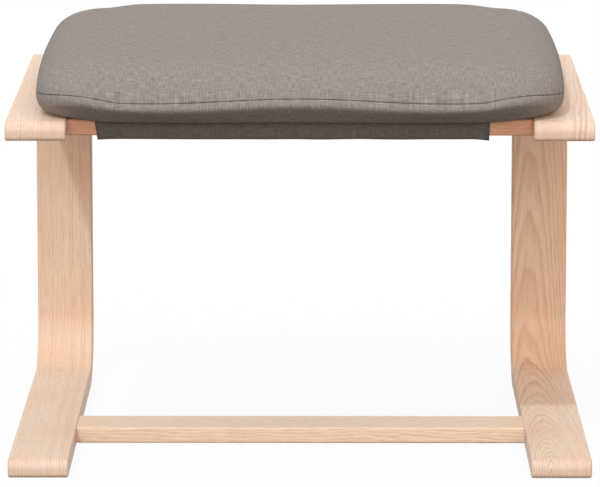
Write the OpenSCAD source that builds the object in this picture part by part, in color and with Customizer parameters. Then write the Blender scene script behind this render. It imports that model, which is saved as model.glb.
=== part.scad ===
// Footstool with bent laminated side frames, three cross rails, a cloth sling and a loose cushion.
// The front of the stool faces -Y, +X is to its right seen from the front, and Z=0 is the floor.

/* [Frame] */
// Width over the two side frames
frame_w = 540; // [460:1:640]
// Depth from the runners' front ends to the back of the legs
frame_d = 480; // [400:1:570]
// Height of the seat sides where they meet the rear bends
seat_h = 340.5; // [280:0.5:400]
// Fall of the seat towards the front, in degrees
seat_tilt = 1.3; // [0:0.05:3]
// How far the seat sides' front ends stand behind the runners' front ends
seat_setback = 9; // [0:1:30]

/* [Laminated strip] */
// Width of the bent strip
strip_w = 56; // [46:1:68]
// Thickness of the bent strip
strip_t = 18; // [15:0.5:22]
// Inside radius of both bends
bend_r = 48; // [38:1:70]
// Rounding of the upper edge of each front end
nose_r = 10; // [7:0.5:11]
// Rounding of the lower edge of each front end
nose_low_r = 3; // [2.75:0.25:4]
// Rounding of the long edges
edge_r = 2; // [1:0.25:2.5]

/* [Cross rails] */
// Depth of a cross rail, front to back
rail_w = 54; // [44:1:66]
// Thickness of a cross rail
rail_t = 15.5; // [15:0.5:18]
// Rounding of a cross rail's long edges
rail_edge_r = 2; // [1:0.25:2.5]
// Front seat rail's distance behind the seat sides' front ends
front_rail_setback = 26; // [20:1:60]
// Rear seat rail's distance in front of the rear bends
rear_rail_setback = 12; // [4:1:60]
// Floor stretcher's distance behind the runners' front ends
stretcher_setback = 145; // [100:1:200]
// Gap under the floor stretcher
stretcher_lift = 1.5; // [1:0.25:3]

/* [Fasteners] */
// Diameter of the connector bolts
bolt_d = 6; // [5:0.5:7]
// Diameter of a bolt's head
bolt_head_d = 10.5; // [9:0.25:11.5]
// Height of a bolt's head
bolt_head_h = 5; // [4:0.25:6]
// Size of the key socket, across its flats
socket_w = 4; // [3:0.5:5]
// Depth of the counterbore that hides a bolt's head
counterbore_h = 7; // [6:0.5:9]
// How far a bolt reaches into a cross rail
bolt_reach = 33; // [30:1:38]
// Diameter of a barrel nut
barrel_d = 10; // [8.5:0.25:12]
// Height of a barrel nut
barrel_h = 12; // [10:0.25:12.5]
// Barrel nut's distance from the rail's end
barrel_inset = 24; // [18:1:26]
// Diameter of a wooden dowel
dowel_d = 8; // [6:0.5:9]
// Length of a wooden dowel
dowel_l = 30; // [24:1:36]
// Distance of bolt and dowel from the rail's middle
fastener_pitch = 13; // [11:0.5:15]

/* [Sling] */
// Gap between the sling's edges and the side frames, on average
sling_side_gap = 32; // [20:1:60]
// How far the sling sits off centre, to the left
sling_shift = 7; // [0:1:12]
// Thickness of the sling cloth
sling_t = 0.9; // [0.7:0.05:1.1]
// Slack of the tunnels below the rails
tunnel_slack = 2; // [0.6:0.1:3]
// Sag of the sling between the seat rails
sling_sag = 5; // [3.5:0.5:6.5]
// Width of the sewn lap beside each tunnel
lap_w = 20; // [12:1:30]

/* [Cushion] */
// How far the cushion's sides stay inside the side frames' outer faces
cushion_side_inset = 28; // [14:0.5:32]
// How far the cushion reaches past the seat sides' front ends
cushion_overhang = 6; // [0:1:8]
// How far the cushion's back stays in front of the legs' back
cushion_rear_inset = 14; // [10:1:40]
// Plan radius of the cushion's front corners
front_corner_r = 54; // [44:1:70]
// Plan radius of the cushion's rear corners
rear_corner_r = 76; // [64:1:92]
// Height of the cushion at its shoulders
cushion_h = 48; // [42:1:60]
// Extra height at the middle of the crown
crown_h = 6.5; // [3:0.5:12]
// Height of the side seam
seam_h = 20; // [15:0.5:25]
// Rise and fall of the seam along the front
seam_wave = 2.3; // [0:0.1:4]
// How far in from the edge the upper side is rounded
shoulder_r = 46; // [34:1:54]
// How far in from the edge the underside is rounded
belly_r = 16; // [12:1:24]
// How far the middle of each side swells out
side_swell = 7; // [0:0.5:9]
// How far the middle of the front is drawn in
front_draw = 2; // [0:0.5:6]
// Droop of the cushion's front edge in front of the seat rail
front_droop = 4.5; // [2:0.25:6]
// Thickness of the cover
cover_t = 1.2; // [0.8:0.1:1.6]

/* [Closures] */
// Width of the hook and loop strips
grip_w = 25; // [16:1:32]
// Length of the hook and loop strips
grip_l = 240; // [180:1:300]
// Thickness of each strip
grip_t = 0.8; // [0.6:0.05:0.95]
// Distance of each strip from the middle of the sling
grip_pitch = 56; // [40:1:70]
// Width of the zip tape that shows
tape_w = 12; // [10:0.5:16]
// Thickness of the zip tape
tape_t = 0.7; // [0.5:0.05:0.9]
// Width across the closed zip teeth
teeth_w = 5; // [4:0.25:6]
// How far the zip teeth stand up
teeth_t = 1.8; // [1.4:0.1:2.2]
// Pitch of the zip teeth
tooth_pitch = 4; // [3.3:0.1:5]
// Length of the zip slider
slider_l = 10; // [8:0.5:13]
// Wall of the zip slider
slider_t = 1.2; // [0.9:0.1:1.5]
// Length of the zip pull
pull_l = 26; // [20:1:34]
// Width of the zip pull
pull_w = 5; // [4:0.25:6]
// Thickness of the zip pull
pull_t = 1.4; // [1.1:0.1:1.7]

/* [Hidden] */
// Clearances
butt_gap = 0.1;      // between a rail's end and a side frame
bolt_gap = 0.3;      // round a bolt's shank
head_gap = 0.25;     // round a bolt's head
barrel_gap = 0.15;   // round a barrel nut
thread_gap = 0.05;   // between a bolt and its barrel nut
dowel_gap = 0.1;     // round a dowel
cloth_gap = 0.25;    // between the sling and a rail
rest_gap = 0.3;      // between the cushion and what it rests on
cover_gap = 0.3;     // between the cover's halves and round the foam
zip_gap = 0.25;      // between the parts of the zip
overrun = 1;         // how far a cut runs past a face
seam_overlap = 0.02; // how far sewn layers share each other
sewn_gap = 0.1;      // between pieces that thread holds together
bend_proud = 0.01;   // how far the upper bend stands proud of the straight lengths
bend_lap = 0.3;      // how far the seat side reaches into the upper bend

// Small sizes of the small pieces
socket_depth = 3;
head_chamfer = 0.8;
barrel_roof = 1.5;
slot_w = 1.4;
slot_depth = 1.2;
dowel_chamfer = 1;
flute_r = 0.5;
flute_count = 12;
bolt_tip = 4;
bore_past_bolt = 3;
zip_end_margin = 12;
stop_l = 3;
tooth_share = 0.62;
slider_park = 8;
pivot_d = 1.6;
pivot_gap = 0.3;
eye_wall = 1.2;
ear_t = 1;
ear_gap = 0.3;

round_fn = 48;

// Derived places of the frame, in the side plane: x is the depth and y the height
bend_out = bend_r + strip_t;
bend_x = frame_d / 2 - bend_out;
upper_bend_y = seat_h - bend_out;
runner_l = frame_d - bend_out;
seat_l = (runner_l - seat_setback - (bend_out - nose_r) * sin(seat_tilt)) / cos(seat_tilt);
inner_half_w = frame_w / 2 - strip_w;
rail_half_l = inner_half_w - butt_gap;

// Derived places on the seat plane: x runs along the seat sides, y=0 is their top face
rail_drop = cloth_gap + sling_t + rest_gap + seam_overlap;
rail_mid_y = -rail_drop - rail_t / 2;
front_rail_x = -seat_l + front_rail_setback + rail_w / 2;
rear_rail_x = -rear_rail_setback - rail_w / 2;
stretcher_x = -frame_d / 2 + stretcher_setback + rail_w / 2;
stretcher_y = stretcher_lift + rail_t / 2;
bolt_l = strip_w - counterbore_h + bolt_reach;

// How far a barrel nut's lower end lies above the rail's underside
barrel_sink = (rail_t - barrel_roof - barrel_h) / 2;

// The sling's span is an arc between the rails
sling_w = 2 * (inner_half_w - sling_side_gap);
span = rear_rail_x - front_rail_x - rail_w;
span_mid_x = (front_rail_x + rear_rail_x) / 2;
span_r = (span * span / 4 + sling_sag * sling_sag) / (2 * sling_sag);
sling_top_y = -rail_drop + cloth_gap + sling_t;

// The cushion's plan, about its own middle
cushion_half_w = frame_w / 2 - cushion_side_inset;
cushion_front_x = -seat_l - cushion_overhang;
cushion_rear_x = bend_out - cushion_rear_inset;
cushion_half_d = (cushion_rear_x - cushion_front_x) / 2;
cushion_mid_x = (cushion_rear_x + cushion_front_x) / 2;

// The underside lies on the side frames and the tunnels, and sags between them
belly_share = 1 - belly_r / cushion_half_d;
shoulder_share = 1 - shoulder_r / cushion_half_d;
sag_half_x = span / 2 - lap_w;
sag_half_z = inner_half_w - rest_gap;

// Hook and loop strips above the sling, and the sag that brings the cushion down on them at both edges
hook_y = sewn_gap;
loop_y = hook_y + grip_t + rest_gap;
loop_top_y = loop_y + grip_t;
function dip_share(x, half) = 1 - pow(x / half, 2);
function sag_that_reaches(x) =
    (sling_sag * dip_share(x, span / 2) + rest_gap - sling_top_y - loop_top_y - sewn_gap)
    / dip_share(x, sag_half_x);
grip_edges_x = [grip_pitch - grip_w / 2, grip_pitch + grip_w / 2];
belly_sag = min(sag_that_reaches(grip_edges_x[0]), sag_that_reaches(grip_edges_x[1]));

// How the cushion's rings lie: turns of the rounded rim in degrees, then shares of the plan further in, of
// which the first follows the side frames' inner faces
rim_turns = [0, 18, 36, 54, 72, 90];
inner_shares = [sag_half_z / (belly_share * (cushion_half_w + side_swell)), 0.8, 0.58, 0.38, 0.19];
upper_rim_power = 0.84;
lower_rim_power = 1.2;
seam_period_share = 0.55;
window_power = 6;
corner_steps = 6;
side_steps = 8;

// The zip lies on the cushion's straight back, from the left to the right
zip_l = 2 * (cushion_half_w - rear_corner_r - zip_end_margin);
teeth_l = zip_l - 2 * stop_l;
tooth_count = floor(teeth_l / tooth_pitch);
tape_back_x = cushion_rear_x + zip_gap;
teeth_back_x = tape_back_x + tape_t;
slider_in_x = teeth_back_x + zip_gap;
slider_out_x = teeth_back_x + teeth_t + zip_gap + slider_t;
slider_half_h = teeth_w / 2 + zip_gap + slider_t;
slider_z = -teeth_l / 2 + slider_l / 2 + slider_park;

// The pull's pin stands upright between two ears on the slider
eye_r = pivot_d / 2 + pivot_gap + eye_wall;
pivot_x = slider_out_x + eye_r + zip_gap;
ear_half_h = pull_w / 2 + ear_gap + ear_t;

// Turns the side plane upright: its x becomes the depth, its y the height, its z the width
module side_plane() rotate([90, 0, 90]) children();

// The seat plane: x=0 at the rear bends' ends, y=0 on the seat sides' top face
module seat_plane()
    side_plane() translate([bend_x, upper_bend_y]) rotate([0, 0, seat_tilt]) translate([0, bend_out])
        children();

// The floor plane: x=0 at the stool's middle, y=0 on the floor
module floor_plane() side_plane() children();

// A rectangle from the origin whose four corners are round
module rounded_rect(w, h, r) {
    translate([r, 0]) square([w - 2 * r, h]);
    translate([0, r]) square([w, h - 2 * r]);
    for (x = [r, w - r], y = [r, h - r])
        translate([x, y]) circle(r = r, $fn = round_fn);
}

// The strip's cross-section: its thickness along x and its width along y
module strip_section() rounded_rect(strip_t, strip_w, edge_r);

// The outer part of the section, from a turning axis at x=0 to a face at x=r
module quarter_section(r)
    intersection() {
        square([r, strip_w]);
        translate([r - strip_w, 0]) rounded_rect(strip_w, strip_w, edge_r);
    }

// Runs a section forward along the side plane's x, its own x up the plane
module run_along_x(l) rotate([90, 0, 90]) linear_extrude(l) children();

// A straight length of strip from x=lap to x=-l, whose front end is rounded over both edges
module nosed_board(l, lap) {
    translate([-l + nose_r, 0]) run_along_x(l - nose_r + lap) strip_section();
    translate([-l + nose_r, strip_t - nose_r])
        rotate([0, 0, 90]) rotate_extrude(angle = 90, $fn = 2 * round_fn) quarter_section(nose_r);
    translate([-l + nose_r, nose_low_r]) mirror([0, 0, 1]) rotate([-90, 0, 0])
        linear_extrude(strip_t - nose_r - nose_low_r) mirror([1, 0]) quarter_section(nose_r);
    translate([-l + nose_low_r, nose_low_r])
        rotate([0, 0, 180]) rotate_extrude(angle = 90, $fn = 2 * round_fn) quarter_section(nose_low_r);
    translate([-l + nose_low_r, nose_low_r])
        run_along_x(nose_r - nose_low_r) mirror([1, 0]) quarter_section(nose_low_r);
}

// The strip bent through an angle about the side plane's origin, proud of the section all round
module bend(from, turn, proud)
    rotate([0, 0, from]) rotate_extrude(angle = turn, $fn = 4 * round_fn)
        translate([bend_r - proud, -proud])
            rounded_rect(strip_t + 2 * proud, strip_w + 2 * proud, edge_r + proud);

// The bolt and dowel holes for one cross rail, cut through the strip from its outer face at z=0
module joint_holes() {
    translate([-fastener_pitch, 0, -overrun]) {
        cylinder(h = strip_w + 2 * overrun, d = bolt_d + 2 * bolt_gap, $fn = round_fn);
        cylinder(h = counterbore_h + overrun, d = bolt_head_d + 2 * head_gap, $fn = round_fn);
    }
    translate([fastener_pitch, 0, strip_w - dowel_l / 2 - dowel_gap])
        cylinder(h = dowel_l / 2 + dowel_gap + overrun, d = dowel_d + 2 * dowel_gap, $fn = round_fn);
}

// The left side frame in the side plane, z=0 on its outer face: runner, bend, leg, bend and seat side
module side_strip() {
    difference() {
        union() {
            translate([bend_x, 0]) nosed_board(runner_l, 0);
            translate([bend_x, bend_out]) bend(-90, 90, 0);
            translate([bend_x + bend_r, bend_out]) rotate([0, 0, 90]) mirror([0, 1, 0])
                run_along_x(upper_bend_y - bend_out) strip_section();
            translate([bend_x, upper_bend_y]) {
                bend(0, 90 + seat_tilt, bend_proud);
                rotate([0, 0, seat_tilt]) translate([0, bend_r]) nosed_board(seat_l, bend_lap);
            }
        }
        translate([stretcher_x, stretcher_y]) joint_holes();
        translate([bend_x, upper_bend_y]) rotate([0, 0, seat_tilt]) translate([0, bend_out])
            for (x = [front_rail_x, rear_rail_x])
                translate([x, rail_mid_y]) joint_holes();
    }
}

module left_side_frame()
    color("burlywood") translate([-frame_w / 2, 0, 0]) side_plane() side_strip();

module right_side_frame() mirror([1, 0, 0]) left_side_frame();

// A cross rail about its own middle, in a plane whose x is its width and y its thickness
module cross_rail() {
    color("tan") difference() {
        translate([-rail_w / 2, -rail_t / 2, -rail_half_l])
            linear_extrude(2 * rail_half_l) rounded_rect(rail_w, rail_t, rail_edge_r);
        for (side = [-1, 1]) rail_end_holes(side);
    }
}

// The holes in one end of a cross rail: bolt, barrel nut and dowel
module rail_end_holes(side) {
    mirror([0, 0, side < 0 ? 1 : 0]) {
        translate([-fastener_pitch, 0, rail_half_l - bolt_reach - bore_past_bolt])
            cylinder(h = bolt_reach + bore_past_bolt + overrun, d = bolt_d + 2 * bolt_gap, $fn = round_fn);
        translate([-fastener_pitch, -rail_t / 2 - overrun, rail_half_l - barrel_inset]) rotate([-90, 0, 0])
            cylinder(h = rail_t - barrel_roof + overrun, d = barrel_d + 2 * barrel_gap, $fn = round_fn);
        translate([fastener_pitch, 0, rail_half_l - dowel_l / 2 - dowel_gap])
            cylinder(h = dowel_l / 2 + dowel_gap + overrun, d = dowel_d + 2 * dowel_gap, $fn = round_fn);
    }
}

module at_front_rail() seat_plane() translate([front_rail_x, rail_mid_y]) children();
module at_rear_rail() seat_plane() translate([rear_rail_x, rail_mid_y]) children();
module at_stretcher() floor_plane() translate([stretcher_x, stretcher_y]) children();

module front_seat_rail() at_front_rail() cross_rail();
module rear_seat_rail() at_rear_rail() cross_rail();
module floor_stretcher() at_stretcher() cross_rail();

module cone(h, d1, d2) cylinder(h = h, d1 = d1, d2 = d2, $fn = round_fn);

// A connector bolt along z from the underside of its head, with a hexagon socket
module bolt() {
    color("silver") difference() {
        union() {
            translate([0, 0, -bolt_head_h + head_chamfer])
                cylinder(h = bolt_head_h - head_chamfer, d = bolt_head_d, $fn = round_fn);
            translate([0, 0, -bolt_head_h]) cone(head_chamfer, bolt_head_d - 2 * head_chamfer, bolt_head_d);
            cylinder(h = bolt_l - bolt_tip, d = bolt_d, $fn = round_fn);
            translate([0, 0, bolt_l - bolt_tip]) cone(bolt_tip, bolt_d, bolt_d - 2 * head_chamfer);
        }
        translate([0, 0, -bolt_head_h - overrun])
            cylinder(h = socket_depth + overrun, d = socket_w / cos(30), $fn = 6);
    }
}

// The two bolts of a cross rail, one from each side
module bolt_pair()
    for (side = [0, 1]) mirror([0, 0, side])
        translate([-fastener_pitch, 0, -frame_w / 2 + counterbore_h]) bolt();

module front_rail_bolts() at_front_rail() bolt_pair();
module rear_rail_bolts() at_rear_rail() bolt_pair();
module stretcher_bolts() at_stretcher() bolt_pair();

// A barrel nut standing along y, with its cross hole along z and a slot in its lower end
module barrel_nut() {
    color("silver") difference() {
        rotate([-90, 0, 0]) cylinder(h = barrel_h, d = barrel_d, $fn = round_fn);
        translate([0, rail_t / 2 - barrel_sink, -barrel_d])
            cylinder(h = 2 * barrel_d, d = bolt_d + 2 * thread_gap, $fn = round_fn);
        translate([-slot_w / 2, -overrun, -barrel_d / 2 - overrun])
            cube([slot_w, slot_depth + overrun, barrel_d + 2 * overrun]);
    }
}

module barrel_pair()
    for (side = [0, 1]) mirror([0, 0, side])
        translate([-fastener_pitch, -rail_t / 2 + barrel_sink, rail_half_l - barrel_inset]) barrel_nut();

module front_rail_barrel_nuts() at_front_rail() barrel_pair();
module rear_rail_barrel_nuts() at_rear_rail() barrel_pair();
module stretcher_barrel_nuts() at_stretcher() barrel_pair();

// A wooden dowel along z, chamfered at both ends and fluted for the glue
module dowel() {
    color("wheat") translate([0, 0, -dowel_l / 2]) difference() {
        union() {
            translate([0, 0, dowel_chamfer])
                cylinder(h = dowel_l - 2 * dowel_chamfer, d = dowel_d, $fn = round_fn);
            cone(dowel_chamfer, dowel_d - dowel_chamfer, dowel_d);
            translate([0, 0, dowel_l - dowel_chamfer]) cone(dowel_chamfer, dowel_d, dowel_d - dowel_chamfer);
        }
        for (i = [0:flute_count - 1]) rotate([0, 0, 360 * i / flute_count])
            translate([dowel_d / 2, 0, -overrun])
                cylinder(h = dowel_l + 2 * overrun, r = flute_r, $fn = round_fn / 4);
    }
}

module dowel_pair()
    for (side = [-1, 1]) translate([fastener_pitch, 0, side * inner_half_w]) dowel();

module front_rail_dowels() at_front_rail() dowel_pair();
module rear_rail_dowels() at_rear_rail() dowel_pair();
module stretcher_dowels() at_stretcher() dowel_pair();

// A rail's outline grown for the cloth that goes round it: the same at the top and sides, slack below
module grown_rail(grow)
    translate([-rail_w / 2 - grow, -rail_t / 2 - tunnel_slack - grow + cloth_gap])
        rounded_rect(rail_w + 2 * grow, rail_t + tunnel_slack + 2 * grow - cloth_gap, rail_edge_r + grow);

module tunnel_section() difference() {
    grown_rail(cloth_gap + sling_t);
    grown_rail(cloth_gap);
}

// A band that follows the sling's arc, from depth low to depth high below its top face
module arc_band(low, high, from_x, to_x)
    intersection() {
        translate([span_mid_x, sling_top_y - sling_sag + span_r]) difference() {
            circle(r = span_r + high, $fn = 8 * round_fn);
            circle(r = span_r + low, $fn = 8 * round_fn);
        }
        translate([from_x, sling_top_y - 2 * sling_sag]) square([to_x - from_x, 2 * sling_sag + bend_r]);
    }

// The sling's section: a tunnel round each seat rail, the span between, and the sewn laps
module sling_section() {
    for (x = [front_rail_x, rear_rail_x]) translate([x, rail_mid_y]) tunnel_section();
    span_start = front_rail_x + rail_w / 2;
    span_end = rear_rail_x - rail_w / 2;
    arc_band(0, sling_t, span_start - rail_edge_r, span_end + rail_edge_r);
    arc_band(sling_t - seam_overlap, 2 * sling_t, span_start + cloth_gap, span_start + lap_w);
    arc_band(sling_t - seam_overlap, 2 * sling_t, span_end - lap_w, span_end - cloth_gap);
}

module seat_sling()
    color("dimgray") translate([-sling_shift, 0, 0]) seat_plane()
        translate([0, 0, -sling_w / 2]) linear_extrude(sling_w) sling_section();

// The two strips of one half of the hook and loop fastening, at a height above the sling
module grip_strips(y)
    translate([-sling_shift, 0, 0]) seat_plane() translate([0, 0, -grip_l / 2]) linear_extrude(grip_l)
        for (side = [-1, 1]) {
            x = span_mid_x + side * grip_pitch;
            arc_band(-y - grip_t, -y, x - grip_w / 2, x + grip_w / 2);
        }

module sling_hook_strips() color("black") grip_strips(hook_y);
module cushion_loop_strips() color("black") grip_strips(loop_y);

// The cushion's plan: four round corners with straight sides between them, as points about its middle
function corner_point(q, i, inset) =
    let (rear = q == 0 || q == 3, r = (rear ? rear_corner_r : front_corner_r) - inset,
         sx = rear ? 1 : -1, sz = q < 2 ? 1 : -1, turn = 90 * (q + i / corner_steps))
    [sx * (cushion_half_d - inset - r) + r * cos(turn), sz * (cushion_half_w - inset - r) + r * sin(turn)];

function plan_outline(inset) = [
    for (q = [0:3]) each concat(
        [for (i = [0:corner_steps]) corner_point(q, i, inset)],
        [for (j = [1:side_steps - 1])
            let (a = corner_point(q, corner_steps, inset), b = corner_point((q + 1) % 4, 0, inset))
            a + (b - a) * j / side_steps])];

// Draws the middle of the front in and swells both sides; the zip keeps the back straight
function filled_out(p, half_d, half_w) =
    [p[0] * (1 - front_draw / half_d * pow(min(0, p[0]) / half_d, 2) * dip_share(p[1], half_w)),
     p[1] * (1 + side_swell / half_w * pow(p[1] / half_w, 2) * dip_share(p[0], half_d))];

function window(z, half) = max(0, 1 - pow(abs(z) / half, window_power));

// Height of the seam, which rises and falls along the front
function seam_at(x, z) =
    seam_h + seam_wave * cos(180 * z / (seam_period_share * cushion_half_w))
    * pow(max(0, -x / cushion_half_d), 2);

// Height of the upper side above the seam's ring, at a turn of the rounded rim
function upper_at(x, z, turn, inset) =
    let (seam = seam_at(x, z),
         crown = crown_h * dip_share(x, cushion_half_d) * dip_share(z, cushion_half_w + side_swell))
    seam + (cushion_h - inset - seam + crown) * pow(sin(turn), upper_rim_power);

// Height of the underside, with its sag into the sling and its droop in front of the front rail
function lower_at(x, z, turn, inset) =
    let (seam = seam_at(x, z),
         sag_x = x + cushion_mid_x - span_mid_x,
         sag = belly_sag * max(0, dip_share(sag_x, sag_half_x)) * window(z, sag_half_z),
         droop = front_droop * sin(2 * turn) * max(0, -x / cushion_half_d) * window(z, inner_half_w))
    seam - (seam - rest_gap - inset) * pow(sin(turn), lower_rim_power) - sag * (turn == 90 ? 1 : 0) - droop;

// One ring of the cushion, a whole inset inside the outer skin: side 1 is the upper half and -1 the lower
function ring_share(k, rim_share, rim_power) =
    k < len(rim_turns) ? rim_share + (1 - rim_share) * pow(cos(rim_turns[k]), rim_power)
    : rim_share * inner_shares[k - len(rim_turns)];

function skin_point(p, share, turn, side, inset) =
    let (x = p[0] * share, z = p[1] * share,
         y = side > 0 ? upper_at(x, z, turn, inset) : lower_at(x, z, turn, inset))
    [x, y, z];

function skin_ring(k, side, inset) =
    let (half_d = cushion_half_d - inset, half_w = cushion_half_w - inset,
         share = side > 0 ? ring_share(k, shoulder_share, upper_rim_power)
                          : ring_share(k, belly_share, lower_rim_power),
         turn = k < len(rim_turns) ? rim_turns[k] : 90)
    [for (p = plan_outline(inset)) skin_point(filled_out(p, half_d, half_w), share, turn, side, inset)];

ring_n = 4 * (corner_steps + side_steps);
ring_count = len(rim_turns) + len(inner_shares);

function moved(points, dy) = [for (p = points) [p[0], p[1] + dy, p[2]]];

function half_skin(side, inset, from, dy) = concat(
    [for (k = [from:ring_count - 1]) each moved(skin_ring(k, side, inset), k == 0 ? dy : 0)],
    [skin_point([0, 0], 0, 90, side, inset)]);

// Triangles between two rings, and from a ring to a point
function band_faces(a, b) = [
    for (i = [0:ring_n - 1]) let (j = (i + 1) % ring_n)
        each [[a + i, a + j, b + j], [a + i, b + j, b + i]]];
function cap_faces(a, tip) = [for (i = [0:ring_n - 1]) [a + i, a + (i + 1) % ring_n, tip]];
function flipped(faces) = [for (f = faces) [f[0], f[2], f[1]]];

function half_faces(start, rings) = concat(
    [for (k = [0:rings - 2]) each band_faces(start + k * ring_n, start + (k + 1) * ring_n)],
    cap_faces(start + (rings - 1) * ring_n, start + rings * ring_n));

module cushion_plane() seat_plane() translate([cushion_mid_x, 0]) children();

// One half of the cover: a sewn shell from the seam to the middle of its side
module cover_half(side) {
    dy = side * sewn_gap / 2;
    outer = half_skin(side, 0, 0, dy);
    inner = half_skin(side, cover_t, 0, dy);
    n = len(outer);
    skin = half_faces(0, ring_count);
    lining = flipped(half_faces(n, ring_count));
    faces = concat(skin, lining, band_faces(n, 0));
    cushion_plane() polyhedron(concat(outer, inner), side > 0 ? faces : flipped(faces));
}

module cushion_top_cover() color("rosybrown") cover_half(1);
module cushion_base_cover() color("gray") cover_half(-1);

// The foam fills the cover, from its lower middle to its upper middle
module foam_core() {
    inset = cover_t + cover_gap;
    upper = half_skin(1, inset, 0, 0);
    lower = half_skin(-1, inset, 1, 0);
    n = len(upper);
    faces = concat(half_faces(0, ring_count), flipped(half_faces(n, ring_count - 1)), band_faces(n, 0));
    color("lemonchiffon") cushion_plane() polyhedron(concat(upper, lower), faces);
}

// The zip's pieces, extruded straight up from the seat plane's depth and width at the seam's height
module at_zip() seat_plane() translate([0, seam_h, 0]) children();

module zip_block(x, w, z, l, h) translate([x, -h / 2, z]) cube([w, h, l]);

module zip_tape() color("black") at_zip() zip_block(tape_back_x, tape_t, -zip_l / 2, zip_l, tape_w);

// One moulded tooth: wide at the tape and narrower outside
module zip_tooth() {
    foot = tooth_pitch * tooth_share / 2;
    translate([teeth_back_x, -teeth_w / 2]) rotate([-90, -90, 0])
        linear_extrude(teeth_w) polygon([[-foot, 0], [foot, 0], [foot / 2, teeth_t], [-foot / 2, teeth_t]]);
}

module zip_teeth() color("dimgray") at_zip()
    for (i = [0:tooth_count - 1])
        translate([0, 0, (i - (tooth_count - 1) / 2) * tooth_pitch]) zip_tooth();

module zip_end_stops() color("dimgray") at_zip()
    for (side = [-1, 1])
        zip_block(teeth_back_x, teeth_t, side * (zip_l - stop_l) / 2 - stop_l / 2, stop_l, teeth_w);

// The slider: a channel over the teeth, with two ears and a pin for the pull
module zip_slider() color("silver") at_zip() translate([0, 0, slider_z]) {
    difference() {
        zip_block(slider_in_x, slider_out_x - slider_in_x, -slider_l / 2, slider_l, 2 * slider_half_h);
        zip_block(slider_in_x - overrun, teeth_t + overrun, -slider_l / 2 - overrun,
            slider_l + 2 * overrun, teeth_w + 2 * zip_gap);
    }
    for (side = [-1, 1]) translate([0, side * (ear_half_h - ear_t / 2), 0]) {
        zip_block(slider_out_x, pivot_x - slider_out_x, -eye_r, 2 * eye_r, ear_t);
        translate([pivot_x, -ear_t / 2, 0]) rotate([-90, 0, 0])
            cylinder(h = ear_t, r = eye_r, $fn = round_fn);
    }
    translate([pivot_x, -ear_half_h, 0]) rotate([-90, 0, 0])
        cylinder(h = 2 * ear_half_h, d = pivot_d, $fn = round_fn);
}

// The pull: a flat tongue whose eye turns on the slider's pin
module zip_pull() color("silver") at_zip() translate([pivot_x, -pull_w / 2, slider_z]) {
    difference() {
        union() {
            rotate([-90, 0, 0]) cylinder(h = pull_w, r = eye_r, $fn = round_fn);
            translate([-pull_t / 2, 0, 0]) cube([pull_t, pull_w, pull_l - pull_w / 2]);
            translate([-pull_t / 2, pull_w / 2, pull_l - pull_w / 2]) rotate([0, 90, 0])
                cylinder(h = pull_t, d = pull_w, $fn = round_fn);
        }
        translate([0, -overrun, 0]) rotate([-90, 0, 0])
            cylinder(h = pull_w + 2 * overrun, d = pivot_d + 2 * pivot_gap, $fn = round_fn);
    }
}

left_side_frame();
right_side_frame();
front_seat_rail();
rear_seat_rail();
floor_stretcher();
front_rail_bolts();
rear_rail_bolts();
stretcher_bolts();
front_rail_barrel_nuts();
rear_rail_barrel_nuts();
stretcher_barrel_nuts();
front_rail_dowels();
rear_rail_dowels();
stretcher_dowels();
seat_sling();
sling_hook_strips();
cushion_loop_strips();
foam_core();
cushion_top_cover();
cushion_base_cover();
zip_tape();
zip_teeth();
zip_end_stops();
zip_slider();
zip_pull();
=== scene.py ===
"""Footstool with bent laminated side frames, a cloth sling and a loose cushion, dressed over its CAD frame.

The stool's front faces -Y, +X is to the right of someone who looks at it, and Z=0 is the floor. All lengths
are in metres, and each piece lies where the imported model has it.
"""

import logging
from collections.abc import Iterable, Sequence
from dataclasses import dataclass, replace
from enum import Enum
from math import atan2, cos, hypot, pi, radians, sin

import bmesh
import bpy
from mathutils import Matrix, Vector, noise


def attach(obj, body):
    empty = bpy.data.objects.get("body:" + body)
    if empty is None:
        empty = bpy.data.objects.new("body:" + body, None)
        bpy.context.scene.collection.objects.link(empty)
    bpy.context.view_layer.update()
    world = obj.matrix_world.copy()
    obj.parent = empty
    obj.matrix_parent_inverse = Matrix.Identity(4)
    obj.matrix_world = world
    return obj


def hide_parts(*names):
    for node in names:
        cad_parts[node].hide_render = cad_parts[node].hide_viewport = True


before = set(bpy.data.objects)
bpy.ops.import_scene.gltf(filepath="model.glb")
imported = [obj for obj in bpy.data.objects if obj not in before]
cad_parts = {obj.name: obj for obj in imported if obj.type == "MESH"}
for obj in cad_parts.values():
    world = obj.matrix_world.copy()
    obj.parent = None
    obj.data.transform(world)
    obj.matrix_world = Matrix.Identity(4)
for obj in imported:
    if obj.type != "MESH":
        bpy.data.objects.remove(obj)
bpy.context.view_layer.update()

log = logging.getLogger("footstool")

RGBA = tuple[float, float, float, float]
Feed = bpy.types.Node | bpy.types.NodeSocket
Shades = tuple[tuple[float, float], ...]
Edges = list[bmesh.types.BMEdge]

# Two places or shares closer than this count as one
TINY = 1e-6
# What a length may shrink to before something is divided by it
NEXT_TO_NOTHING = 1e-9

STITCH_PITCH = 0.003
STITCH_SHARE = 0.78
THREAD_HALF_W = 0.00045


def linear(code: str) -> RGBA:
    """Turns an sRGB hex colour to the linear colour that a shader takes.

    Args:
        code: six hex digits, red first.

    Returns:
        Red, green, blue and an alpha of one.
    """
    shares = [int(code[i : i + 2], 16) / 255 for i in (0, 2, 4)]
    red, green, blue = (v / 12.92 if v <= 0.04045 else ((v + 0.055) / 1.055) ** 2.4 for v in shares)
    return red, green, blue, 1.0


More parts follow.
